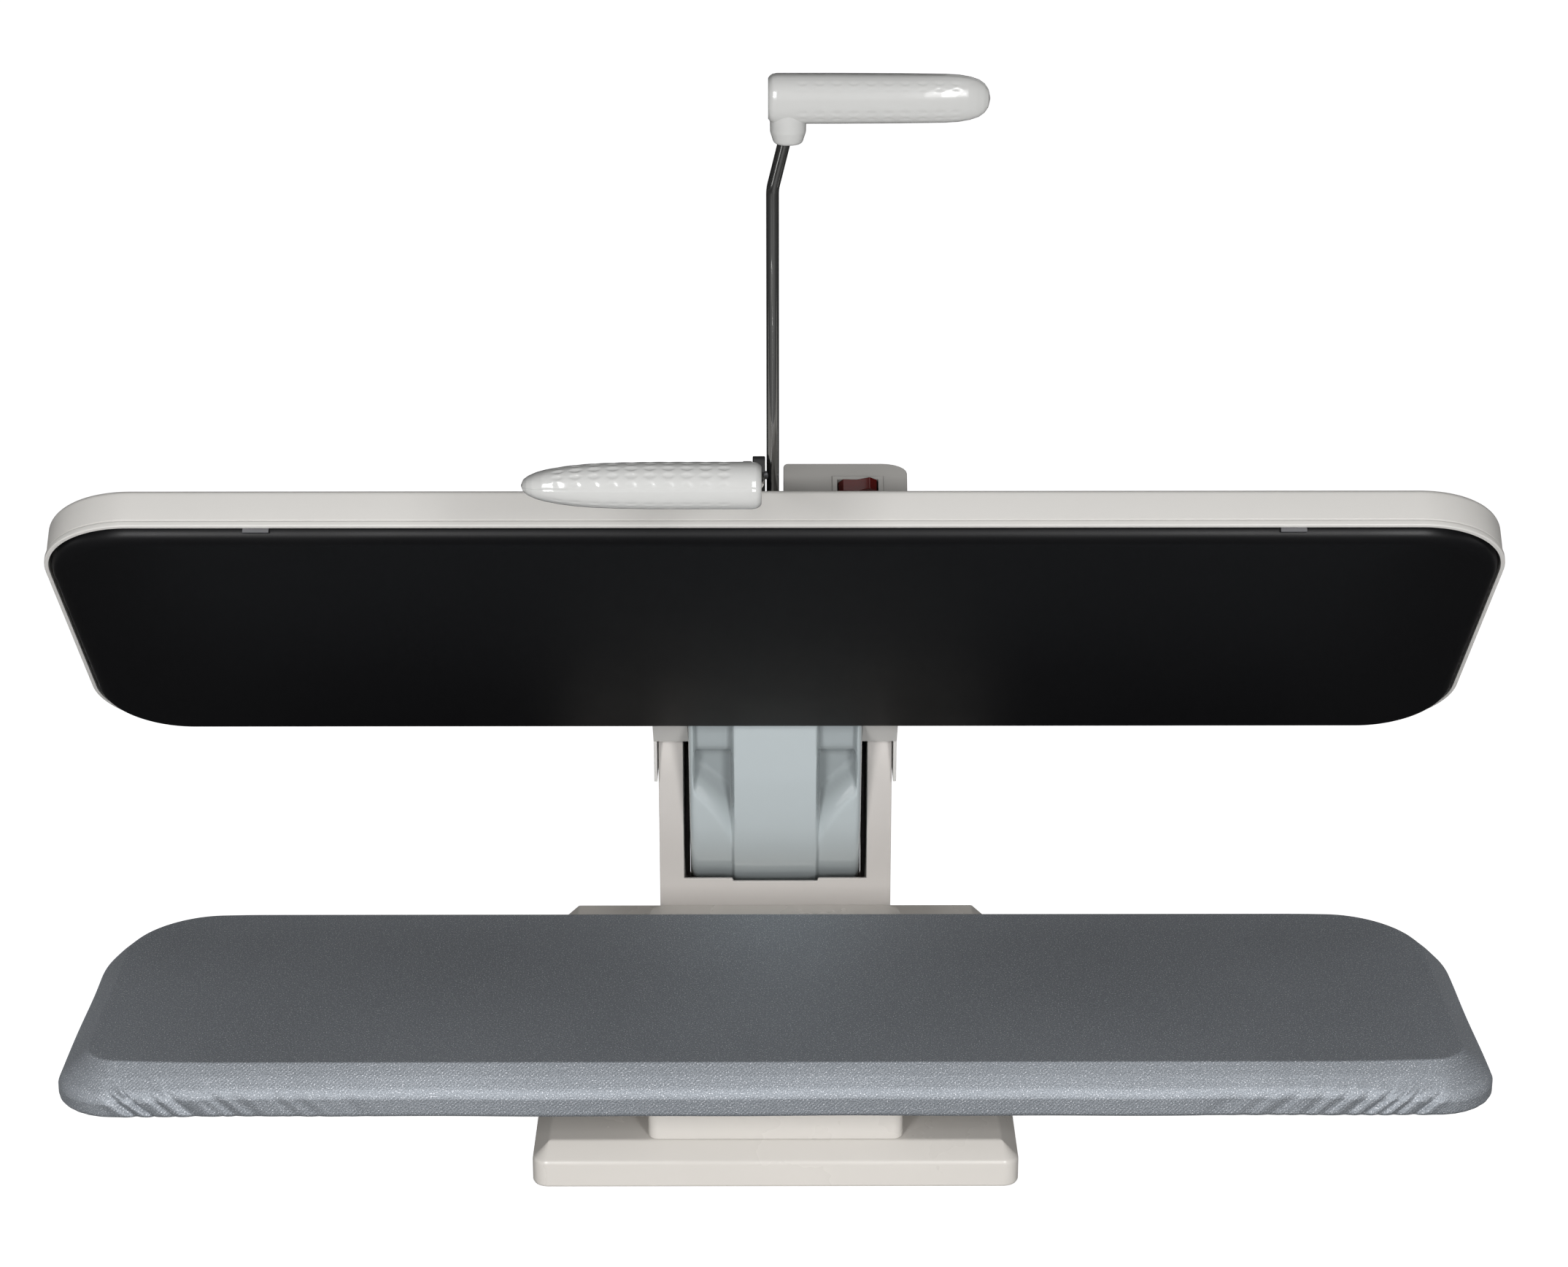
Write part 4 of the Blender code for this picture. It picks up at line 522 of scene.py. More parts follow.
def unwrapped(bm, name, places):
    """Gives the surface a UV layer from one place for each of its points."""
    bm.verts.index_update()
    layer = bm.loops.layers.uv.new(name)
    for face in bm.faces:
        for loop in face.loops:
            loop[layer].uv = places[loop.vert.index]


def rectangle(low, high):
    return ((low[0], low[1]), (high[0], low[1]), (high[0], high[1]), (low[0], high[1]))


def placed(name, data):
    """A new object in the scene."""
    item = bpy.data.objects.new(name, data)
    bpy.context.scene.collection.objects.link(item)
    return item


def carved(bm, low, high):
    """What was modelled, with a box-shaped opening cut out of it."""
    pair = []
    tool = skin([[(x, y, z) for x, y in rectangle(low, high)] for z in (low[2], high[2])])
    for shape in (bm, tool):
        bmesh.ops.recalc_face_normals(shape, faces=shape.faces)
        mesh = bpy.data.meshes.new("working")
        shape.to_mesh(mesh)
        shape.free()
        pair.append(placed("working", mesh))
    cut = pair[0].modifiers.new("opening", "BOOLEAN")
    cut.operation = "DIFFERENCE"
    cut.object = pair[1]
    result = bmesh.new()
    result.from_object(pair[0], bpy.context.evaluated_depsgraph_get())
    for item in pair:
        mesh = item.data
        bpy.data.objects.remove(item)
        bpy.data.meshes.remove(mesh)
    return result


def head_matrix():
    """From head places, with rise over the board, to the raised head."""
    up = Matrix.Translation(hinge_place) @ Matrix.Rotation(-OPEN_ANGLE, 4, "X")
    return up @ Matrix.Translation((0, 0, -HINGE_RISE))


def stand_matrix():
    return Matrix.Translation((0, hinge_place.y, 0))


def finish_piece(bm, name, slot, body, stands_for=(), matrix=None, sharp=38):
    """Turns what was modelled into a piece that rides on its body."""
    bmesh.ops.recalc_face_normals(bm, faces=bm.faces)
    mesh = bpy.data.meshes.new(name)
    bm.to_mesh(mesh)
    bm.free()
    if matrix is not None:
        mesh.transform(matrix)
    mesh.shade_smooth()
    mesh.set_sharp_from_angle(angle=math.radians(sharp))
    mesh.materials.append(FINISHES[slot])
    piece = placed(name, mesh)
    if stands_for:
        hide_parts(*stands_for)
    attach(piece, body)
    return piece


def softened(node, slot, body, width, segments=3):
    """Stands in for a node with the same shape, whose edges are rounded as moulded ones are."""
    bm = bmesh.new()
    bm.from_mesh(frame["nodes"][node].data)
    bmesh.ops.remove_doubles(bm, verts=bm.verts, dist=0.00001)
    bmesh.ops.dissolve_limit(bm, angle_limit=math.radians(0.6), verts=bm.verts, edges=bm.edges)
    edges = [e for e in bm.edges if len(e.link_faces) == 2 and e.calc_face_angle(0) > math.radians(28)]
    bmesh.ops.bevel(
        bm,
        geom=edges,
        offset=width,
        offset_type="OFFSET",
        segments=segments,
        profile=0.5,
        affect="EDGES",
        clamp_overlap=True,
    )
    piece = finish_piece(bm, f"{node}_shell", slot, body, (node,))
    modifier = piece.modifiers.new("even_shading", "WEIGHTED_NORMAL")
    modifier.keep_sharp = True
    return piece


def paint_nodes():
    """Gives every node of the frame the finish of its own slot."""
    slots = {part["node"]: part["material_slot"] for part in frame["record"]["subparts"]}
    for name, node in frame["nodes"].items():
        node.data.materials.clear()
        node.data.materials.append(FINISHES[slots[name]])


# The board


def round_distance(points, sizes):
    """Distance along the board's edge from the middle of its front, or of its back, at each point."""
    pieces = np.linalg.norm(np.diff(points, axis=0, append=points[:1]), axis=1)
    travelled = np.concatenate([[0], np.cumsum(pieces)[:-1]])
    whole = pieces.sum()
    turns = [math.pi / 2 * radius for radius in (sizes.front_corner, sizes.corner)]
    side = sizes.depth - sizes.front_corner - sizes.corner
    front = turns[0] + sizes.width / 2 - sizes.front_corner
    back = turns[0] * 2 + sizes.width - 2 * sizes.front_corner + side + turns[1]
    back += sizes.width / 2 - sizes.corner
    to_front = (front - travelled + whole / 2) % whole - whole / 2
    to_back = (travelled - back + whole / 2) % whole - whole / 2
    return to_front, to_back


FOLD_ENDS = 0.006
FOLD_SEEDS = (7, 11)


def slant_folds(sizes, along, drop, seed, first):
    """Depth of the folds that the cover's gathers pull into its edge, slanting in from each corner.

    Each lies at a distance along the edge, starting from the first, and has a ridge beside it.
    """
    rng = np.random.default_rng(seed)
    depth = np.zeros(len(along))
    for side in (-1, 1):
        distance = side * along
        place = first
        while place > first - sizes.fold_stretch:
            near = 1 - (first - place) / sizes.fold_stretch
            slant = rng.uniform(0.9, 1.25)
            width = rng.uniform(0.0016, 0.0027) * (1.6 - 0.6 * near)
            strength = sizes.fold * rng.uniform(0.55, 1.0) * (0.45 + 0.55 * near)
            length = rng.uniform(0.70, 1.0)
            offset = (distance - place - slant * (sizes.thickness - drop)) / width
            fade = smooth((drop / sizes.thickness - (1 - length)) / 0.50)
            ridge = 0.45 * np.exp(-(((offset - 2.8) / 1.8) ** 2))
            depth += strength * fade * (np.exp(-(offset**2)) - ridge)
            place -= rng.uniform(0.010, 0.019)
    return depth * (1 - 0.6 * smooth((drop - sizes.thickness + FOLD_ENDS) / FOLD_ENDS))


def puckers(sizes, along, drop):
    """Depth of the short gathers along the lower edge where the cover goes round a front corner."""
    low = smooth((drop / sizes.thickness - 0.35) / 0.6)
    corner = smooth((np.abs(along) - sizes.width / 2 + 0.060) / 0.03)
    corner *= smooth((sizes.width / 2 + 0.075 - np.abs(along)) / 0.03)
    wave = np.sin(along / 0.0017 + 1.3 * np.sin(along / 0.011)) * (0.7 + 0.3 * np.sin(along / 0.0053))
    return 0.07 * sizes.fold * low * corner * wave


# The shoulder's profile, as shares of its depth: (inset, fall, radius)
SHOULDER_SHARES = ((1.25, 0.0, 0), (1.0, 0.0, 0.15), (0.55, 0.38, 1.5), (0.13, 0.80, 0.9), (0.0, 1.10, 0))
# The pan's rim, which the pad closes round: (inset, rise over the pan)
PAN_SIDE = ((0.0095, 0), (0.0095, 0.0092), (0.0121, 0.0092), (0.0121, 0.0022))
DEEPER_RUN = 0.12


def make_board_pad(sizes):
    """The foam pad in its cloth cover, drawn tight over the board's pan and gathered under it.

    The cover presses the foam's edge down into a sloping shoulder, which is deeper at the ends.
    """
    half = sizes.width / 2
    size = (half, sizes.reach, sizes.reach - sizes.depth)
    corners = (sizes.front_corner, sizes.corner)
    fineness = (40, (230, 50))
    edge, ways = outline(*size, corners, *fineness)
    to_front, to_back = round_distance(edge, sizes)
    ends = smooth((np.abs(edge[:, 0]) - half + DEEPER_RUN) / DEEPER_RUN)
    deep = sizes.shoulder * (1 + 0.25 * ends)
    top = BOARD_TOP - sizes.crown
    bottom = BOARD_TOP - sizes.thickness
    low = sizes.low_rounding
    rings = []
    plans = []

    def add(inset, rise, travelled, under=0.0):
        """Adds a ring of the edge, at a distance travelled down it and then in under the board."""
        fall = top - rise + under
        folds = slant_folds(sizes, to_front, fall, FOLD_SEEDS[0], half - sizes.fold_start)
        folds += slant_folds(sizes, to_back, fall, FOLD_SEEDS[1], half - sizes.back_fold_start)
        folds += puckers(sizes, to_front, fall)
        folds *= smooth(fall / 0.008)
        swell = 0.0007 * np.sin(to_front * 31) * np.sin(to_front * 13 + 1) * smooth(fall / 0.02)
        gather = 0.0009 * np.abs(np.sin(to_front / 0.0045)) * smooth(under / 0.012)
        places = edge - ways * (inset + folds + swell)[:, None]
        lifted = rise + gather + 0.3 * np.abs(folds) * smooth(under / 0.006)
        rings.append(np.column_stack([places[:, 0], -places[:, 1], lifted]))
        plans.append(edge + ways * (travelled - deep)[:, None])

    nearest = 1.35 * deep.max()
    for share in steps(1, 0, 16):
        inset = nearest + share * (sizes.depth / 2 - nearest - 0.003)
        least = [max(corner - inset, 0.002) for corner in corners]
        inner, _ = outline(half - inset, size[1] - inset, size[2] + inset, least, *fineness)
        rings.append(level(inner, BOARD_TOP - sizes.crown * (1 - share) ** 2))
        plans.append(inner)
    before = SHOULDER_SHARES[0][:2]
    travelled = 1 - before[0]
    for inset, fall in filleted(SHOULDER_SHARES, 7):
        travelled += math.dist(before, (inset, fall))
        before = (inset, fall)
        add(inset * deep, top - fall * deep, travelled * deep)
    side = sizes.thickness - sizes.crown - low - before[1] * deep
    for share in steps(0, 1, 10)[1:-1]:
        add(0, bottom + low + side * (1 - share), travelled * deep + side * share)
    travelled = travelled * deep + side
    for angle in steps(0, math.pi / 2, 8):
        add(low * (1 - math.cos(angle)), bottom + low * (1 - math.sin(angle)), travelled + low * angle)
    travelled = travelled + low * math.pi / 2
    for run in steps(0, sizes.hem - low, 5)[1:]:
        add(low + run, bottom, travelled + run, run)
    pan = bottom + sizes.pan_gap
    inside = [(sizes.hem, pan)] + [(inset, pan + rise) for inset, rise in PAN_SIDE]
    rings += layered(*size, corners, inside, *fineness)
    plans += [plans[-1]] * len(inside)
    bm = skin(rings)
    unwrapped(bm, "cloth", np.concatenate(plans))
    pad = finish_piece(
        bm, "board_pad", "cover_cloth", "stand", ("board_cover", "foam_pad"), stand_matrix(), 60
    )


# The stand


# Profiles of the base and of the pedestal: (inset, rise, radius)
BASE_SIDE = (
    (0.0008, 0.003, 0), (0, 0.0045, 0.001), (0, 0.0225, 0.0060), (0.0125, 0.035, 0.004), (0.017, 0.035, 0)
)
PEDESTAL_SIDE = (
    (0.0, 0.0353, 0), (0.0, 0.0810, 0.012), (-0.0068, 0.0885, 0.003), (-0.007, 0.0899, 0), (0.02, 0.0899, 0)
)
# Their insides: (inset, rise)
BASE_INSIDE = ((0.015, 0.032), (0.003, 0.020), (0.003, 0.003))
PEDESTAL_INSIDE = ((0.0035, 0.0869), (0.0035, 0.0353))
LEAST_CORNER = 0.0008


def base_ring(sizes, inset, tail_inset, rise):
    """The base's outline, with the narrow tail that reaches back under the column."""
    corner = max(sizes.base_corner - inset, LEAST_CORNER)
    turns = 12
    root = inset - sizes.base_back
    size = (sizes.base_width / 2 - inset, sizes.base_front - inset, root)
    points, _ = outline(*size, (corner, corner), turns, (1, 1))
    half = sizes.tail_width / 2 - tail_inset
    back = tail_inset - sizes.tail_back
    tail = [(-half, root), (-half, back), (half, back), (half, root)]
    middle = 3 * (turns + 1)
    return level(np.vstack([points[:middle], tail, points[middle:]]), rise)


def make_base(sizes):
    """The base shell: upright faces, a round shoulder, a flat top and a tail under the column."""
    rings = [base_ring(sizes, inset, sizes.base_wall, rise) for inset, rise in BASE_INSIDE]
    rings += [base_ring(sizes, inset, 0, rise) for inset, rise in filleted(BASE_SIDE)]
    bm = skin(rings)
    finish_piece(bm, "base_shell_skin", "base_plastic", "stand", ("base_shell",), stand_matrix())


def make_pedestal(sizes):
    """The block that carries the board, flared where it meets it."""
    corners = (sizes.pedestal_corner, sizes.pedestal_corner)
    size = (sizes.pedestal_width / 2, sizes.pedestal_front, sizes.pedestal_back, corners)
    bm = skin(layered(*size, [*PEDESTAL_INSIDE, *filleted(PEDESTAL_SIDE)], 10, (12, 12)))
    finish_piece(bm, "pedestal_skin", "base_plastic", "stand", ("pedestal",), stand_matrix())


# The head


# The casing's side, from its lip over a groove and an upright rim to its top: (inset, rise, radius)
CASING_SIDE = (
    (0.0024, 0.0080, 0), (0.0000, 0.0080, 0.0009), (0.0000, 0.0119, 0.0009), (0.0016, 0.0124, 0.0003),
    (0.0016, 0.0131, 0.0003), (0.0009, 0.0136, 0.0006), (0.0010, 0.0360, 0.0050), (0.0280, 0.0497, 0.0080),
    (0.0330, 0.0500, 0),
)
CASING_INSIDE = ((0.0330, 0.0480), (0.0290, 0.0480), (0.0030, 0.0340), (0.0030, 0.0080))
PASSAGE_DEPTH = 0.030
PASSAGE_OVERRUN = 0.010
PASSAGE_TOP = 0.06


def make_casing(sizes):
    """The casing: a bright lip, a groove over it, an upright rim and a sloping top."""
    corners = (sizes.casing_corner, sizes.casing_corner)
    size = (sizes.casing_width / 2, sizes.casing_front, sizes.casing_back, corners)
    bm = skin(layered(*size, [*CASING_INSIDE, *filleted(CASING_SIDE)], 28, (30, 24)))
    half = sizes.passage / 2
    back = -sizes.casing_back
    bm = carved(bm, (-half, back - PASSAGE_DEPTH, 0), (half, back + PASSAGE_OVERRUN, PASSAGE_TOP))
    finish_piece(bm, "casing_skin", "casing_plastic", "head", ("head_casing",), head_matrix())


PLATE_BEVEL = 0.0006


def make_plate(sizes):
    """The hot plate with its rounded edge."""
    radius = sizes.plate_rounding
    profile = [
        (radius - radius * math.sin(angle), radius - radius * math.cos(angle))
        for angle in steps(0, math.pi / 2, 12)
    ]
    profile.append((0, sizes.plate_thickness - PLATE_BEVEL))
    profile.append((PLATE_BEVEL, sizes.plate_thickness))
    corners = (sizes.plate_corner, sizes.plate_corner)
    size = (sizes.plate_width / 2, sizes.plate_front, sizes.plate_back, corners)
    bm = skin(layered(*size, profile, 28, (30, 24)))
    finish_piece(bm, "plate_skin", "sole_coating", "head", ("sole_plate",), head_matrix())


# The arm


# Where the arm's underside begins, is measured from, and leaves the drum, in degrees round the hinge
DRUM_BACK = -118
DRUM_START = -74
DRUM_LEAVE = -60
ARM_REACH = 0.158
ARM_RISE = 0.0424
# How a pocket spreads from the tongue as it runs up the arm, and how steeply its side falls
POCKET_SPREAD = (0.15, 7.0)
POCKET_SLOPE = 0.85
POCKET_EASE = 1.15


def arm_path(radius):
    """Places, outward directions and distance travelled along the arm's underside."""
    rows = []
    start = math.radians(DRUM_START)
    for angle in steps(math.radians(DRUM_BACK), math.radians(DRUM_LEAVE), 44):
        way = (math.cos(angle), math.sin(angle))
        rows.append((way, (radius * way[0], radius * way[1]), radius * (angle - start)))
    way, last, travelled = rows[-1]
    run = (ARM_REACH - last[0]) / -way[1]
    for along in steps(0, run, 36)[1:]:
        rows.append((way, (last[0] - along * way[1], last[1] + along * way[0]), travelled + along))
    return rows


def arm_relief(sizes, x, travelled):
    """How far the arm lies behind its tongue: the drum's step, the pockets and the round sides."""
    across = abs(x) - sizes.tongue / 2
    step = float(smooth((across + 0.0012) / 0.0034))
    along = max(travelled, 0.0)
    reach = POCKET_SPREAD[0] * along + POCKET_SPREAD[1] * along**2
    inside = float(smooth((sizes.width / 2 - 0.0032 - abs(x)) / 0.0022))
    slope = POCKET_SLOPE * (reach - max(across - 0.0011, 0.0))
    pocket = sizes.pocket * float(np.clip(slope / sizes.pocket, 0.0, 1.0)) ** POCKET_EASE
    ledge = sizes.ledge * float(smooth((along - sizes.ledge_place) / 0.012))
    pocket = max(0.0, pocket - ledge)
    edge = max(0.0, abs(x) - (sizes.width / 2 - sizes.edge))
    rounding = sizes.edge - math.sqrt(max(0.0, sizes.edge**2 - edge**2))
    return sizes.proud * step + pocket * step * inside + rounding


def arm_top_edge(eye, count):
    """The upper edge of the arm's side plates: round the hinge eye, then straight to the head."""
    end = (ARM_REACH, ARM_RISE - HINGE_RISE)
    touch = math.atan2(end[1], end[0]) + math.acos(eye / math.hypot(*end)) - 2 * math.pi
    bend = count * 2 // 3
    line = [(eye * math.cos(a), eye * math.sin(a)) for a in steps(math.radians(-150), touch, bend)]
    last = line[-1]
    for share in steps(0, 1, count - bend - 1)[1:]:
        line.append((last[0] + share * (end[0] - last[0]), last[1] + share * (end[1] - last[1])))
    return line


# Pocket depth at which the arm's painted shade is darkest.
FULL_SHADE_DEPTH = 0.012


def make_arm(sizes):
    """The cast arm: a drum round the hinge, a raised tongue and two pockets that open to the head.

    Its UV layer holds how far each place lies down in a pocket, as a share of a full depth, which the enamel turns
    into painted shade.
    """
    path = arm_path(sizes.radius + sizes.proud)
    half = sizes.width / 2
    inner_half = half - sizes.wall
    xs = [half, half - 0.0005, half - 0.0012, half - 0.0022, inner_half]
    marks = list(steps(inner_half - 0.0005, sizes.tongue / 2 + 0.0022, 20))
    marks += list(steps(sizes.tongue / 2 + 0.0018, sizes.tongue / 2 - 0.0012, 8))
    marks += list(steps(sizes.tongue / 2 - 0.003, 0, 6))
    rings = []
    top = arm_top_edge(sizes.eye, len(path))
    painted_pocket_shades = []
    for x, plate in [(x, True) for x in xs] + [(x, False) for x in marks]:
        outer = []
        inner = []
        for way, place, travelled in path:
            depth = arm_relief(sizes, x, travelled)
            outer.append((place[0] - way[0] * depth, place[1] - way[1] * depth))
            # Painted shade for this place, growing with its depth in a pocket; the side plates get none.
            recess = float(np.clip((depth - sizes.proud - 0.0005) / FULL_SHADE_DEPTH, 0, 1))
            painted_pocket_shades.append((0 if plate else recess, 0.5))
            deep = arm_relief(sizes, min(abs(x), half - 0.0045), travelled) + sizes.wall
            inner.append((place[0] - way[0] * deep, place[1] - way[1] * deep))
        painted_pocket_shades += [(0, 0.5)] * len(path)
        section = np.array(outer + (top if plate else inner)[::-1])
        rings.append(np.column_stack([np.full(len(section), x), -section[:, 0], section[:, 1] + HINGE_RISE]))
    mirror = [ring * np.array([-1, 1, 1]) for ring in rings[:-1]]
    shades = np.array(painted_pocket_shades).reshape(len(rings), -1, 2)
    bm = skin(rings + mirror[::-1])
    # The UV layer carries the painted pocket shade to the enamel.
    unwrapped(bm, "recess", np.concatenate([*shades, *shades[-2::-1]]))
    finish_piece(bm, "arm_casting", "arm_enamel", "head", ("head_arm",), head_matrix(), 50)


# The levers


LEVER_PIN = (-0.0065, -0.400, 0.088)


def lever_matrix(angle):
    """From a lever that stands up from its pin to the lever turned forward by an angle."""
    return head_matrix() @ Matrix.Translation(LEVER_PIN) @ Matrix.Rotation(angle, 4, "X")


# The rods' bends and end: (height over the pin, share of the offset, radius)
ROD_BENDS = ((0.2085, 0, 0.030), (0.2520, 1, 0.010), (0.2620, 1, 0))


def bent_rod(hand, sizes, start):
    """Rings along a lever's rod, which bends out to the grip near its end."""
    points = [(start, hand * sizes.rod_apart, 0)]
    for height, share, radius in ROD_BENDS:
        points.append((height, hand * (sizes.rod_apart + share * sizes.rod_offset), radius))
    line = filleted(points, 14)
    rings = []
    angles = steps(0, 2 * math.pi, 32)[:-1]
    for here, (height, x) in enumerate(line):
        before = line[max(here - 1, 0)]
        after = line[min(here + 1, len(line) - 1)]
        way = Vector((after[1] - before[1], 0, after[0] - before[0])).normalized()
        side = Vector((0, 1, 0)).cross(way)
        ring = [
            Vector((x, 0, height)) + sizes.rod * (math.cos(a) * side + math.sin(a) * Vector((0, 1, 0)))
            for a in angles
        ]
        rings.append(np.array(ring))
    return rings


# How full a grip is, in height and in thickness: (share of its length, share of its fullest)
HEIGHT_SHARES = (
    (0.0, 0.80), (0.008, 0.90), (0.02, 0.965), (0.04, 1.0), (0.30, 1.0), (0.60, 0.985), (0.80, 0.965),
    (0.86, 0.935), (0.91, 0.86), (0.95, 0.74), (0.975, 0.58), (0.992, 0.36), (1.0, 0.05),
)
THICKNESS_SHARES = (
    (0.0, 0.80), (0.008, 0.90), (0.02, 0.965), (0.04, 1.0), (0.45, 1.0), (0.60, 0.975), (0.70, 0.935),
    (0.78, 0.87), (0.84, 0.79), (0.90, 0.675), (0.937, 0.57), (0.97, 0.42), (0.99, 0.27), (1.0, 0.04),
)


def grip_size(share, table):
    """How full the grip is at a share of its length."""
    return float(np.interp(share, *zip(*table)))


# The smooth bands between the dimples: (middle, half width), in degrees round the grip
BARE_BANDS = ((112, 26), (176, 25), (248, 26))


def dimples(along, around, sizes):
    """Depth of the diamond dimples, between smooth bands given by their middle and half width."""
    wave = along * sizes.dimples * math.pi
    turn = around * 8.0
    diamond = np.cos(wave + turn) * np.cos(wave - turn)
    band = 1.0
    for middle, half in BARE_BANDS:
        band = band * (1 - np.exp(-(((around - math.radians(middle)) / math.radians(half)) ** 6)))
    ends = smooth((along - 0.09) / 0.06) * smooth((0.90 - along) / 0.08)
    return sizes.dimple * smooth((diamond + 0.1) / 1.0) * band * ends


SEAM_PLACE = 0.0023
SEAM_WIDTH = 0.00045
SEAM_END = 0.985
# The boss under a grip: (radius, height over the pin, rounding)
GRIP_BOSS = (
    (0.0050, 0.2402, 0), (0.0098, 0.2406, 0.004), (0.0125, 0.2490, 0.006), (0.0127, 0.262, 0),
    (0.0125, 0.272, 0),
)


def make_grip(hand, sizes, matrix, name, body, nodes):
    """A grip with its boss, its parting line and its dimples."""
    shares = list(steps(0, 0.07, 14)) + list(steps(0.07, 0.93, 150)[1:]) + list(steps(0.93, 1, 22)[1:])
    angles = steps(0, 2 * math.pi, 128)[:-1]
    rings = []
    for share in shares:
        full = grip_size(share, THICKNESS_SHARES)
        tall = grip_size(share, HEIGHT_SHARES)
        across = np.cos(angles)
        up = np.sin(angles)
        y = sizes.half_thickness * full * np.sign(across) * np.abs(across) ** 0.86
        z = sizes.half_height * tall * np.sign(up) * np.abs(up) ** 0.86
        depth = dimples(np.full(len(angles), share), angles, sizes)
        seam = sizes.seam * np.exp(-(((y + SEAM_PLACE) / SEAM_WIDTH) ** 2)) * (share < SEAM_END)
        shrink = 1 - (depth + seam) / max(sizes.half_thickness * full, 0.002)
        x = hand * (sizes.gap + sizes.length * share)
        rings.append(np.column_stack([np.full(len(angles), x), y * shrink, sizes.height + z * shrink]))
    bm = skin(rings)
    place = Matrix.Translation((hand * (sizes.rod_apart + sizes.rod_offset), 0, 0))
    skin(moved(turned(filleted(GRIP_BOSS), 56), place), bm)
    finish_piece(bm, name, "grip_plastic", body, nodes, matrix, 50)


def make_rod(hand, sizes, matrix, name, body, node, start):
    bm = skin(bent_rod(hand, sizes, start))
    finish_piece(bm, name, "chromed_rod", body, (node,), matrix)


HUB_EDGE = 0.0008
LEAST_RADIUS = 0.0002


def make_hub(sizes, matrix):
    """The lowered lever's hub."""
    half = sizes.hub_thickness / 2
    rim = [(sizes.hub, -half, HUB_EDGE), (sizes.hub, half, HUB_EDGE)]
    profile = filleted([(LEAST_RADIUS, -half, 0), *rim, (LEAST_RADIUS, half, 0)])
    turn = Matrix.Translation((-sizes.rod_apart, 0, 0)) @ Matrix.Rotation(math.pi / 2, 4, "Y")
    bm = skin(moved(turned(profile), turn))
    finish_piece(bm, "lever_hub", "black_plastic", "left_lever", ("left_hub",), matrix)


# The stage


def seen_by(tree, *rays):
    """1 for the camera and for the given rays, and 0 for all others."""
    path = tree.nodes.new("ShaderNodeLightPath")
    seen = path.outputs["Is Camera Ray"]
    for ray in rays:
        either = tree.nodes.new("ShaderNodeMath")
        either.operation = "MAXIMUM"
        tree.links.new(seen, either.inputs[0])
        tree.links.new(path.outputs[ray], either.inputs[1])
        seen = either.outputs[0]
    return seen


def card(name, corners, recipe):
    """A flat four-sided object."""
    mesh = bpy.data.meshes.new(name)
    mesh.from_pydata(corners, [], [(0, 1, 2, 3)])
    mesh.materials.append(recipe.material)
    return placed(name, mesh)


def make_floor():
    """A plain pale floor that shows white to the camera and still takes the press's shadow."""
    pale = Recipe("pale_floor", (0.80, 0.80, 0.80), 0.9)
    pale.shader.inputs["Emission Color"].default_value = (1, 1, 1, 1)
    strength = pale.node("ShaderNodeMath", operation="MULTIPLY")
    strength.inputs[1].default_value = 0.82
    pale.join(seen_by(pale.tree, "Is Glossy Ray"), strength.inputs[0])
    pale.join(strength.outputs[0], pale.shader.inputs["Emission Strength"])
    floor = card("floor", [(-12, -8, 0), (12, -8, 0), (12, 16, 0), (-12, 16, 0)], pale)


def make_world():
    """A dim even surround, which shows white to the camera, in gloss and through glass."""
    world = bpy.data.worlds.new("surround")
    bpy.context.scene.world = world
    world.use_nodes = True
    tree = world.node_tree
    back = tree.nodes["Background"]
    back.inputs["Color"].default_value = (1, 1, 1, 1)
    strength = tree.nodes.new("ShaderNodeMapRange")
    strength.inputs["To Min"].default_value = 0.10
    strength.inputs["To Max"].default_value = 1.0
    tree.links.new(seen_by(tree, "Is Glossy Ray", "Is Transmission Ray"), strength.inputs["Value"])
    tree.links.new(strength.outputs["Result"], back.inputs["Strength"])


# Each lamp's place, the point it faces, its size, its power and whether gloss shows it
LAMPS = {
    "left_key": ((-1.15, -3.1, 1.38), (0, 0, 0.35), (0.6, 1.2), 56, True),
    "right_key": ((1.15, -3.1, 1.38), (0, 0, 0.35), (0.6, 1.2), 56, True),
    "top_softbox": ((0, 1.2, 2.8), (0, 0.2, 0.3), (2.2, 1.4), 4, True),
    "back_softbox": ((0, 14.5, 3.0), (0, 0, 0.35), (6.0, 3.0), 730, False),
    "left_softbox": ((-3.0, -0.8, 1.4), (0, 0, 0.35), (1.2, 1.6), 6, True),
    "right_softbox": ((3.0, -0.6, 1.4), (0, 0, 0.35), (1.2, 1.6), 6, True),
}


def add_lamp(name, place, target, size, power, in_gloss):
    data = bpy.data.lights.new(name, "AREA")
    data.shape = "RECTANGLE"
    data.size, data.size_y = size
    data.energy = power
    lamp = placed(name, data)
    lamp.location = place
    lamp.rotation_euler = (Vector(target) - Vector(place)).to_track_quat("-Z", "Y").to_euler()
    lamp.visible_glossy = in_gloss


# Upright and level cards, by their corners
CARDS = {
    "left_flag": [(-1.25, -2.3, 0.6), (-1.25, 2.2, 0.6), (-1.25, 2.2, 2.6), (-1.25, -2.3, 2.6)],
    "right_flag": [(1.25, -2.3, 0.6), (1.25, 2.2, 0.6), (1.25, 2.2, 2.6), (1.25, -2.3, 2.6)],
    "back_flag": [(-6, 2.6, 0.002), (6, 2.6, 0.002), (6, 2.6, 6.0), (-6, 2.6, 6.0)],
    "low_flag": [(-11, -7, 0.001), (11, -7, 0.001), (11, 15, 0.001), (-11, 15, 0.001)],
}


def make_flags():
    """Black cards round the view, which only chrome and gloss show, as dark parts of the studio."""
    black = Recipe("black_card", (0.05, 0.05, 0.05), 1.0)
    for name, corners in CARDS.items():
        flag = card(name, corners, black)
        for ray in ("camera", "diffuse", "transmission", "volume_scatter", "shadow"):
            setattr(flag, f"visible_{ray}", False)


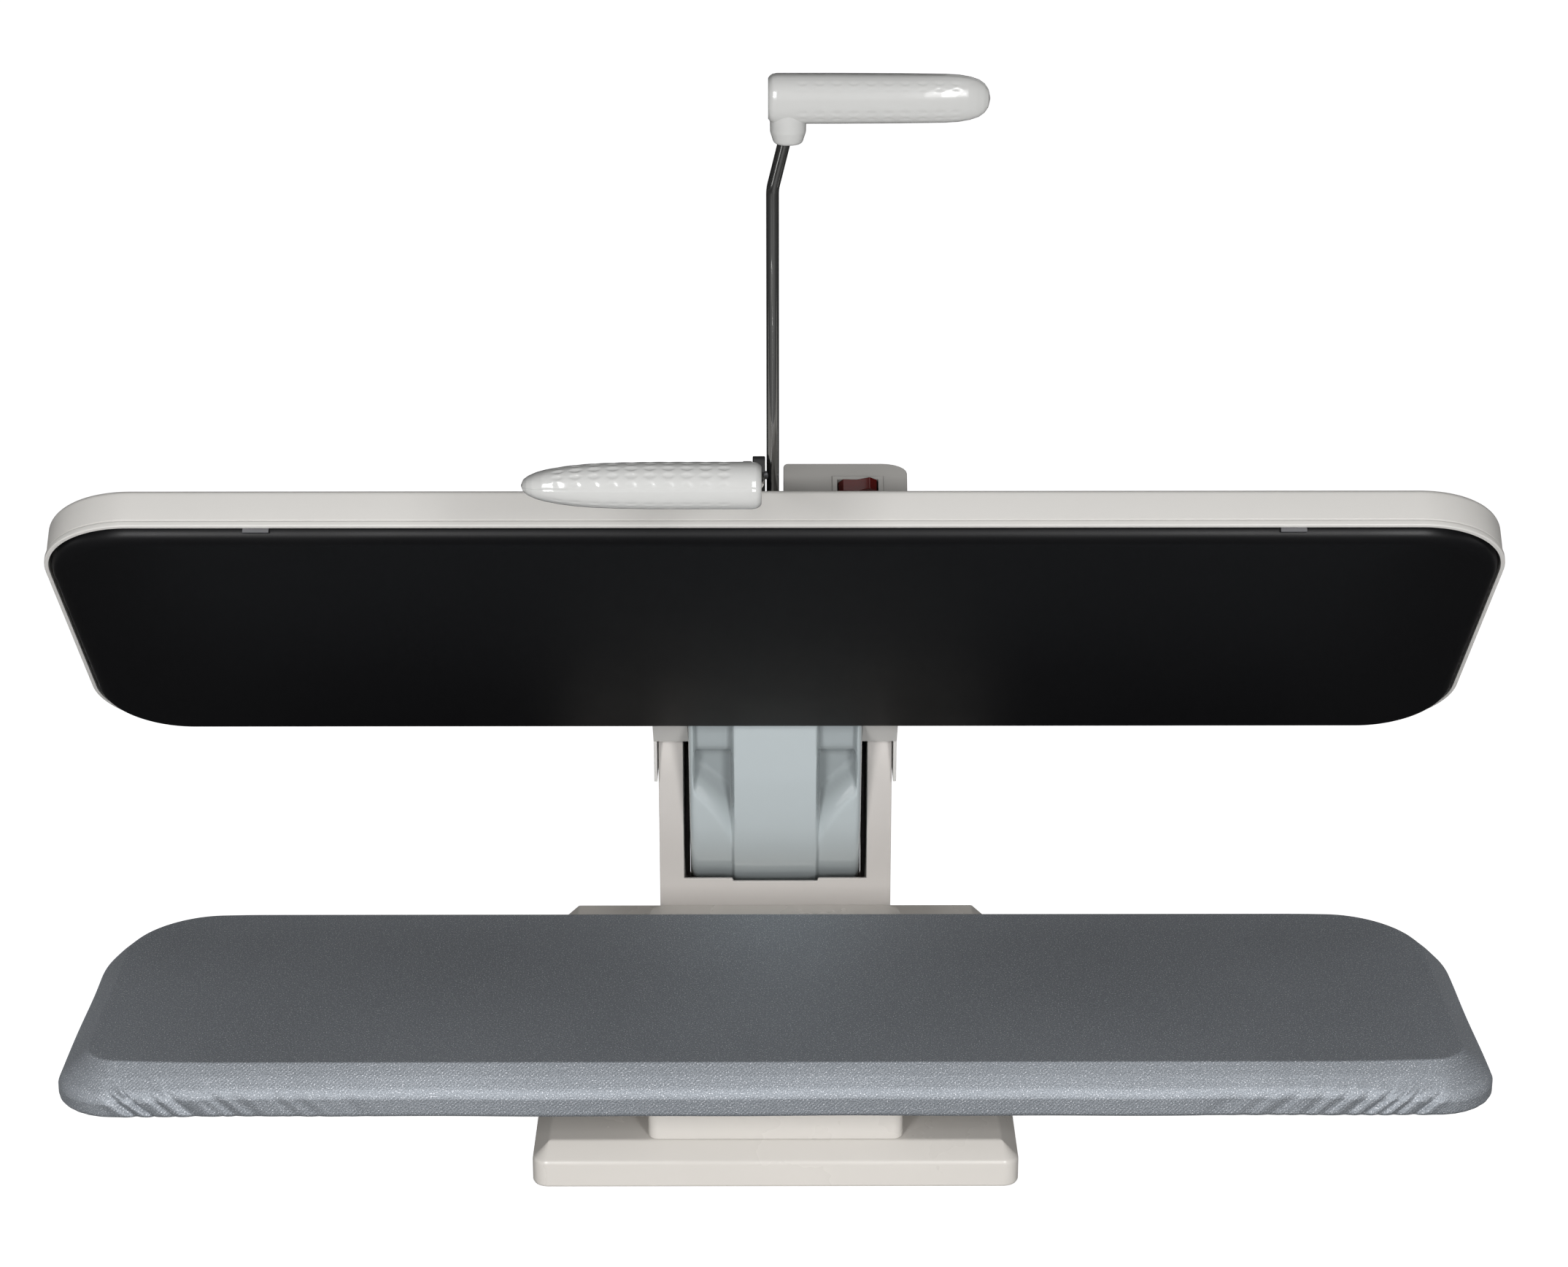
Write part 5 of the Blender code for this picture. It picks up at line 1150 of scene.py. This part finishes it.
CAMERA_LENS = 78.1
CAMERA_REACH = 2.5966
CAMERA_RISE = 1.095
CAMERA_DOWN = 19.85
CAMERA_TURN = -0.16


def make_camera():
    """The camera at the photo's viewing angle, by its reach, rise and angles in degrees."""
    data = bpy.data.cameras.new("photo_view")
    data.sensor_width = 36
    data.lens = CAMERA_LENS
    camera = placed("photo_view", data)
    camera.location = (0, hinge_place.y - CAMERA_REACH, BOARD_TOP + CAMERA_RISE)
    camera.rotation_euler = (math.radians(90 - CAMERA_DOWN), 0, math.radians(CAMERA_TURN))
    bpy.context.scene.camera = camera


# Operators


class PRESS_OT_finishes(bpy.types.Operator):
    """Make every finish and give the frame's nodes theirs"""

    bl_idname = "press.finishes"
    bl_label = "Finishes"

    def execute(self, context):
        make_finishes(context.scene.press_colours)
        paint_nodes()
        return {"FINISHED"}


class PRESS_OT_board(bpy.types.Operator):
    """Build the padded board"""

    bl_idname = "press.board"
    bl_label = "Board"

    def execute(self, context):
        make_board_pad(context.scene.press_board)
        return {"FINISHED"}


class PRESS_OT_stand(bpy.types.Operator):
    """Build the base, the pedestal and the column"""

    bl_idname = "press.stand"
    bl_label = "Stand"

    def execute(self, context):
        make_base(context.scene.press_stand)
        make_pedestal(context.scene.press_stand)
        softened("column_housing", "column_plastic", "stand", 0.0012)
        softened("column_back_cover", "column_plastic", "stand", 0.0008)
        return {"FINISHED"}


class PRESS_OT_head(bpy.types.Operator):
    """Build the casing, the hot plate and the hood"""

    bl_idname = "press.head"
    bl_label = "Head"

    def execute(self, context):
        make_casing(context.scene.press_head)
        make_plate(context.scene.press_head)
        softened("rear_hood", "casing_plastic", "head", 0.0010)
        return {"FINISHED"}


class PRESS_OT_arm(bpy.types.Operator):
    """Build the cast arm"""

    bl_idname = "press.arm"
    bl_label = "Arm"

    def execute(self, context):
        make_arm(context.scene.press_arm)
        return {"FINISHED"}


class PRESS_OT_controls(bpy.types.Operator):
    """Build the control box and its switch"""

    bl_idname = "press.controls"
    bl_label = "Controls"

    def execute(self, context):
        softened("control_box", "box_plastic", "head", 0.0015, 4)
        softened("switch_bezel", "box_plastic", "head", 0.0003, 2)
        softened("power_switch", "switch_red", "switch", 0.0005, 3)
        return {"FINISHED"}


class PRESS_OT_levers(bpy.types.Operator):
    """Build both levers with their grips"""

    bl_idname = "press.levers"
    bl_label = "Levers"

    def execute(self, context):
        sizes = context.scene.press_grip
        up = lever_matrix(OPEN_ANGLE)
        down = lever_matrix(LOWERED_ANGLE)
        make_rod(1, sizes, up, "right_bar", "right_lever", "right_rod", -sizes.rod_tail)
        make_rod(-1, sizes, down, "left_bar", "left_lever", "left_rod", sizes.hub_socket)
        make_grip(1, sizes, up, "right_grip", "right_lever", ("right_grip_front", "right_grip_back"))
        make_grip(-1, sizes, down, "left_grip", "left_lever", ("left_grip_front", "left_grip_back"))
        make_hub(sizes, down)
        return {"FINISHED"}


class PRESS_OT_stage(bpy.types.Operator):
    """Set up the floor, the surround, the lamps and the camera"""

    bl_idname = "press.stage"
    bl_label = "Stage"

    def execute(self, context):
        make_floor()
        make_world()
        for name, settings in LAMPS.items():
            add_lamp(name, *settings)
        make_flags()
        make_camera()
        context.scene.view_settings.view_transform = "Standard"
        return {"FINISHED"}


OPERATORS = (
    PRESS_OT_finishes,
    PRESS_OT_stage,
    PRESS_OT_board,
    PRESS_OT_stand,
    PRESS_OT_head,
    PRESS_OT_arm,
    PRESS_OT_controls,
    PRESS_OT_levers,
)


class PRESS_PT_panel(bpy.types.Panel):
    """Lists the press's pieces and their sizes"""

    bl_label = "Ironing press"
    bl_idname = "PRESS_PT_panel"
    bl_space_type = "VIEW_3D"
    bl_region_type = "UI"
    bl_category = "Press"

    def draw(self, context):
        for operator in OPERATORS:
            self.layout.operator(operator.bl_idname)
        for name, group in GROUPS.items():
            box = self.layout.box()
            box.label(text=group.__doc__)
            for size in group.__annotations__:
                box.prop(getattr(context.scene, name), size)


def register():
    for kind in (*GROUPS.values(), *OPERATORS, PRESS_PT_panel):
        bpy.utils.register_class(kind)
    for name, group in GROUPS.items():
        setattr(bpy.types.Scene, name, PointerProperty(type=group))


def unregister():
    for name in GROUPS:
        delattr(bpy.types.Scene, name)
    for kind in reversed((*GROUPS.values(), *OPERATORS, PRESS_PT_panel)):
        bpy.utils.unregister_class(kind)


def main():
    register()
    for operator in OPERATORS:
        group, name = operator.bl_idname.split(".")
        getattr(getattr(bpy.ops, group), name)()


if __name__ == "__main__":
    main()
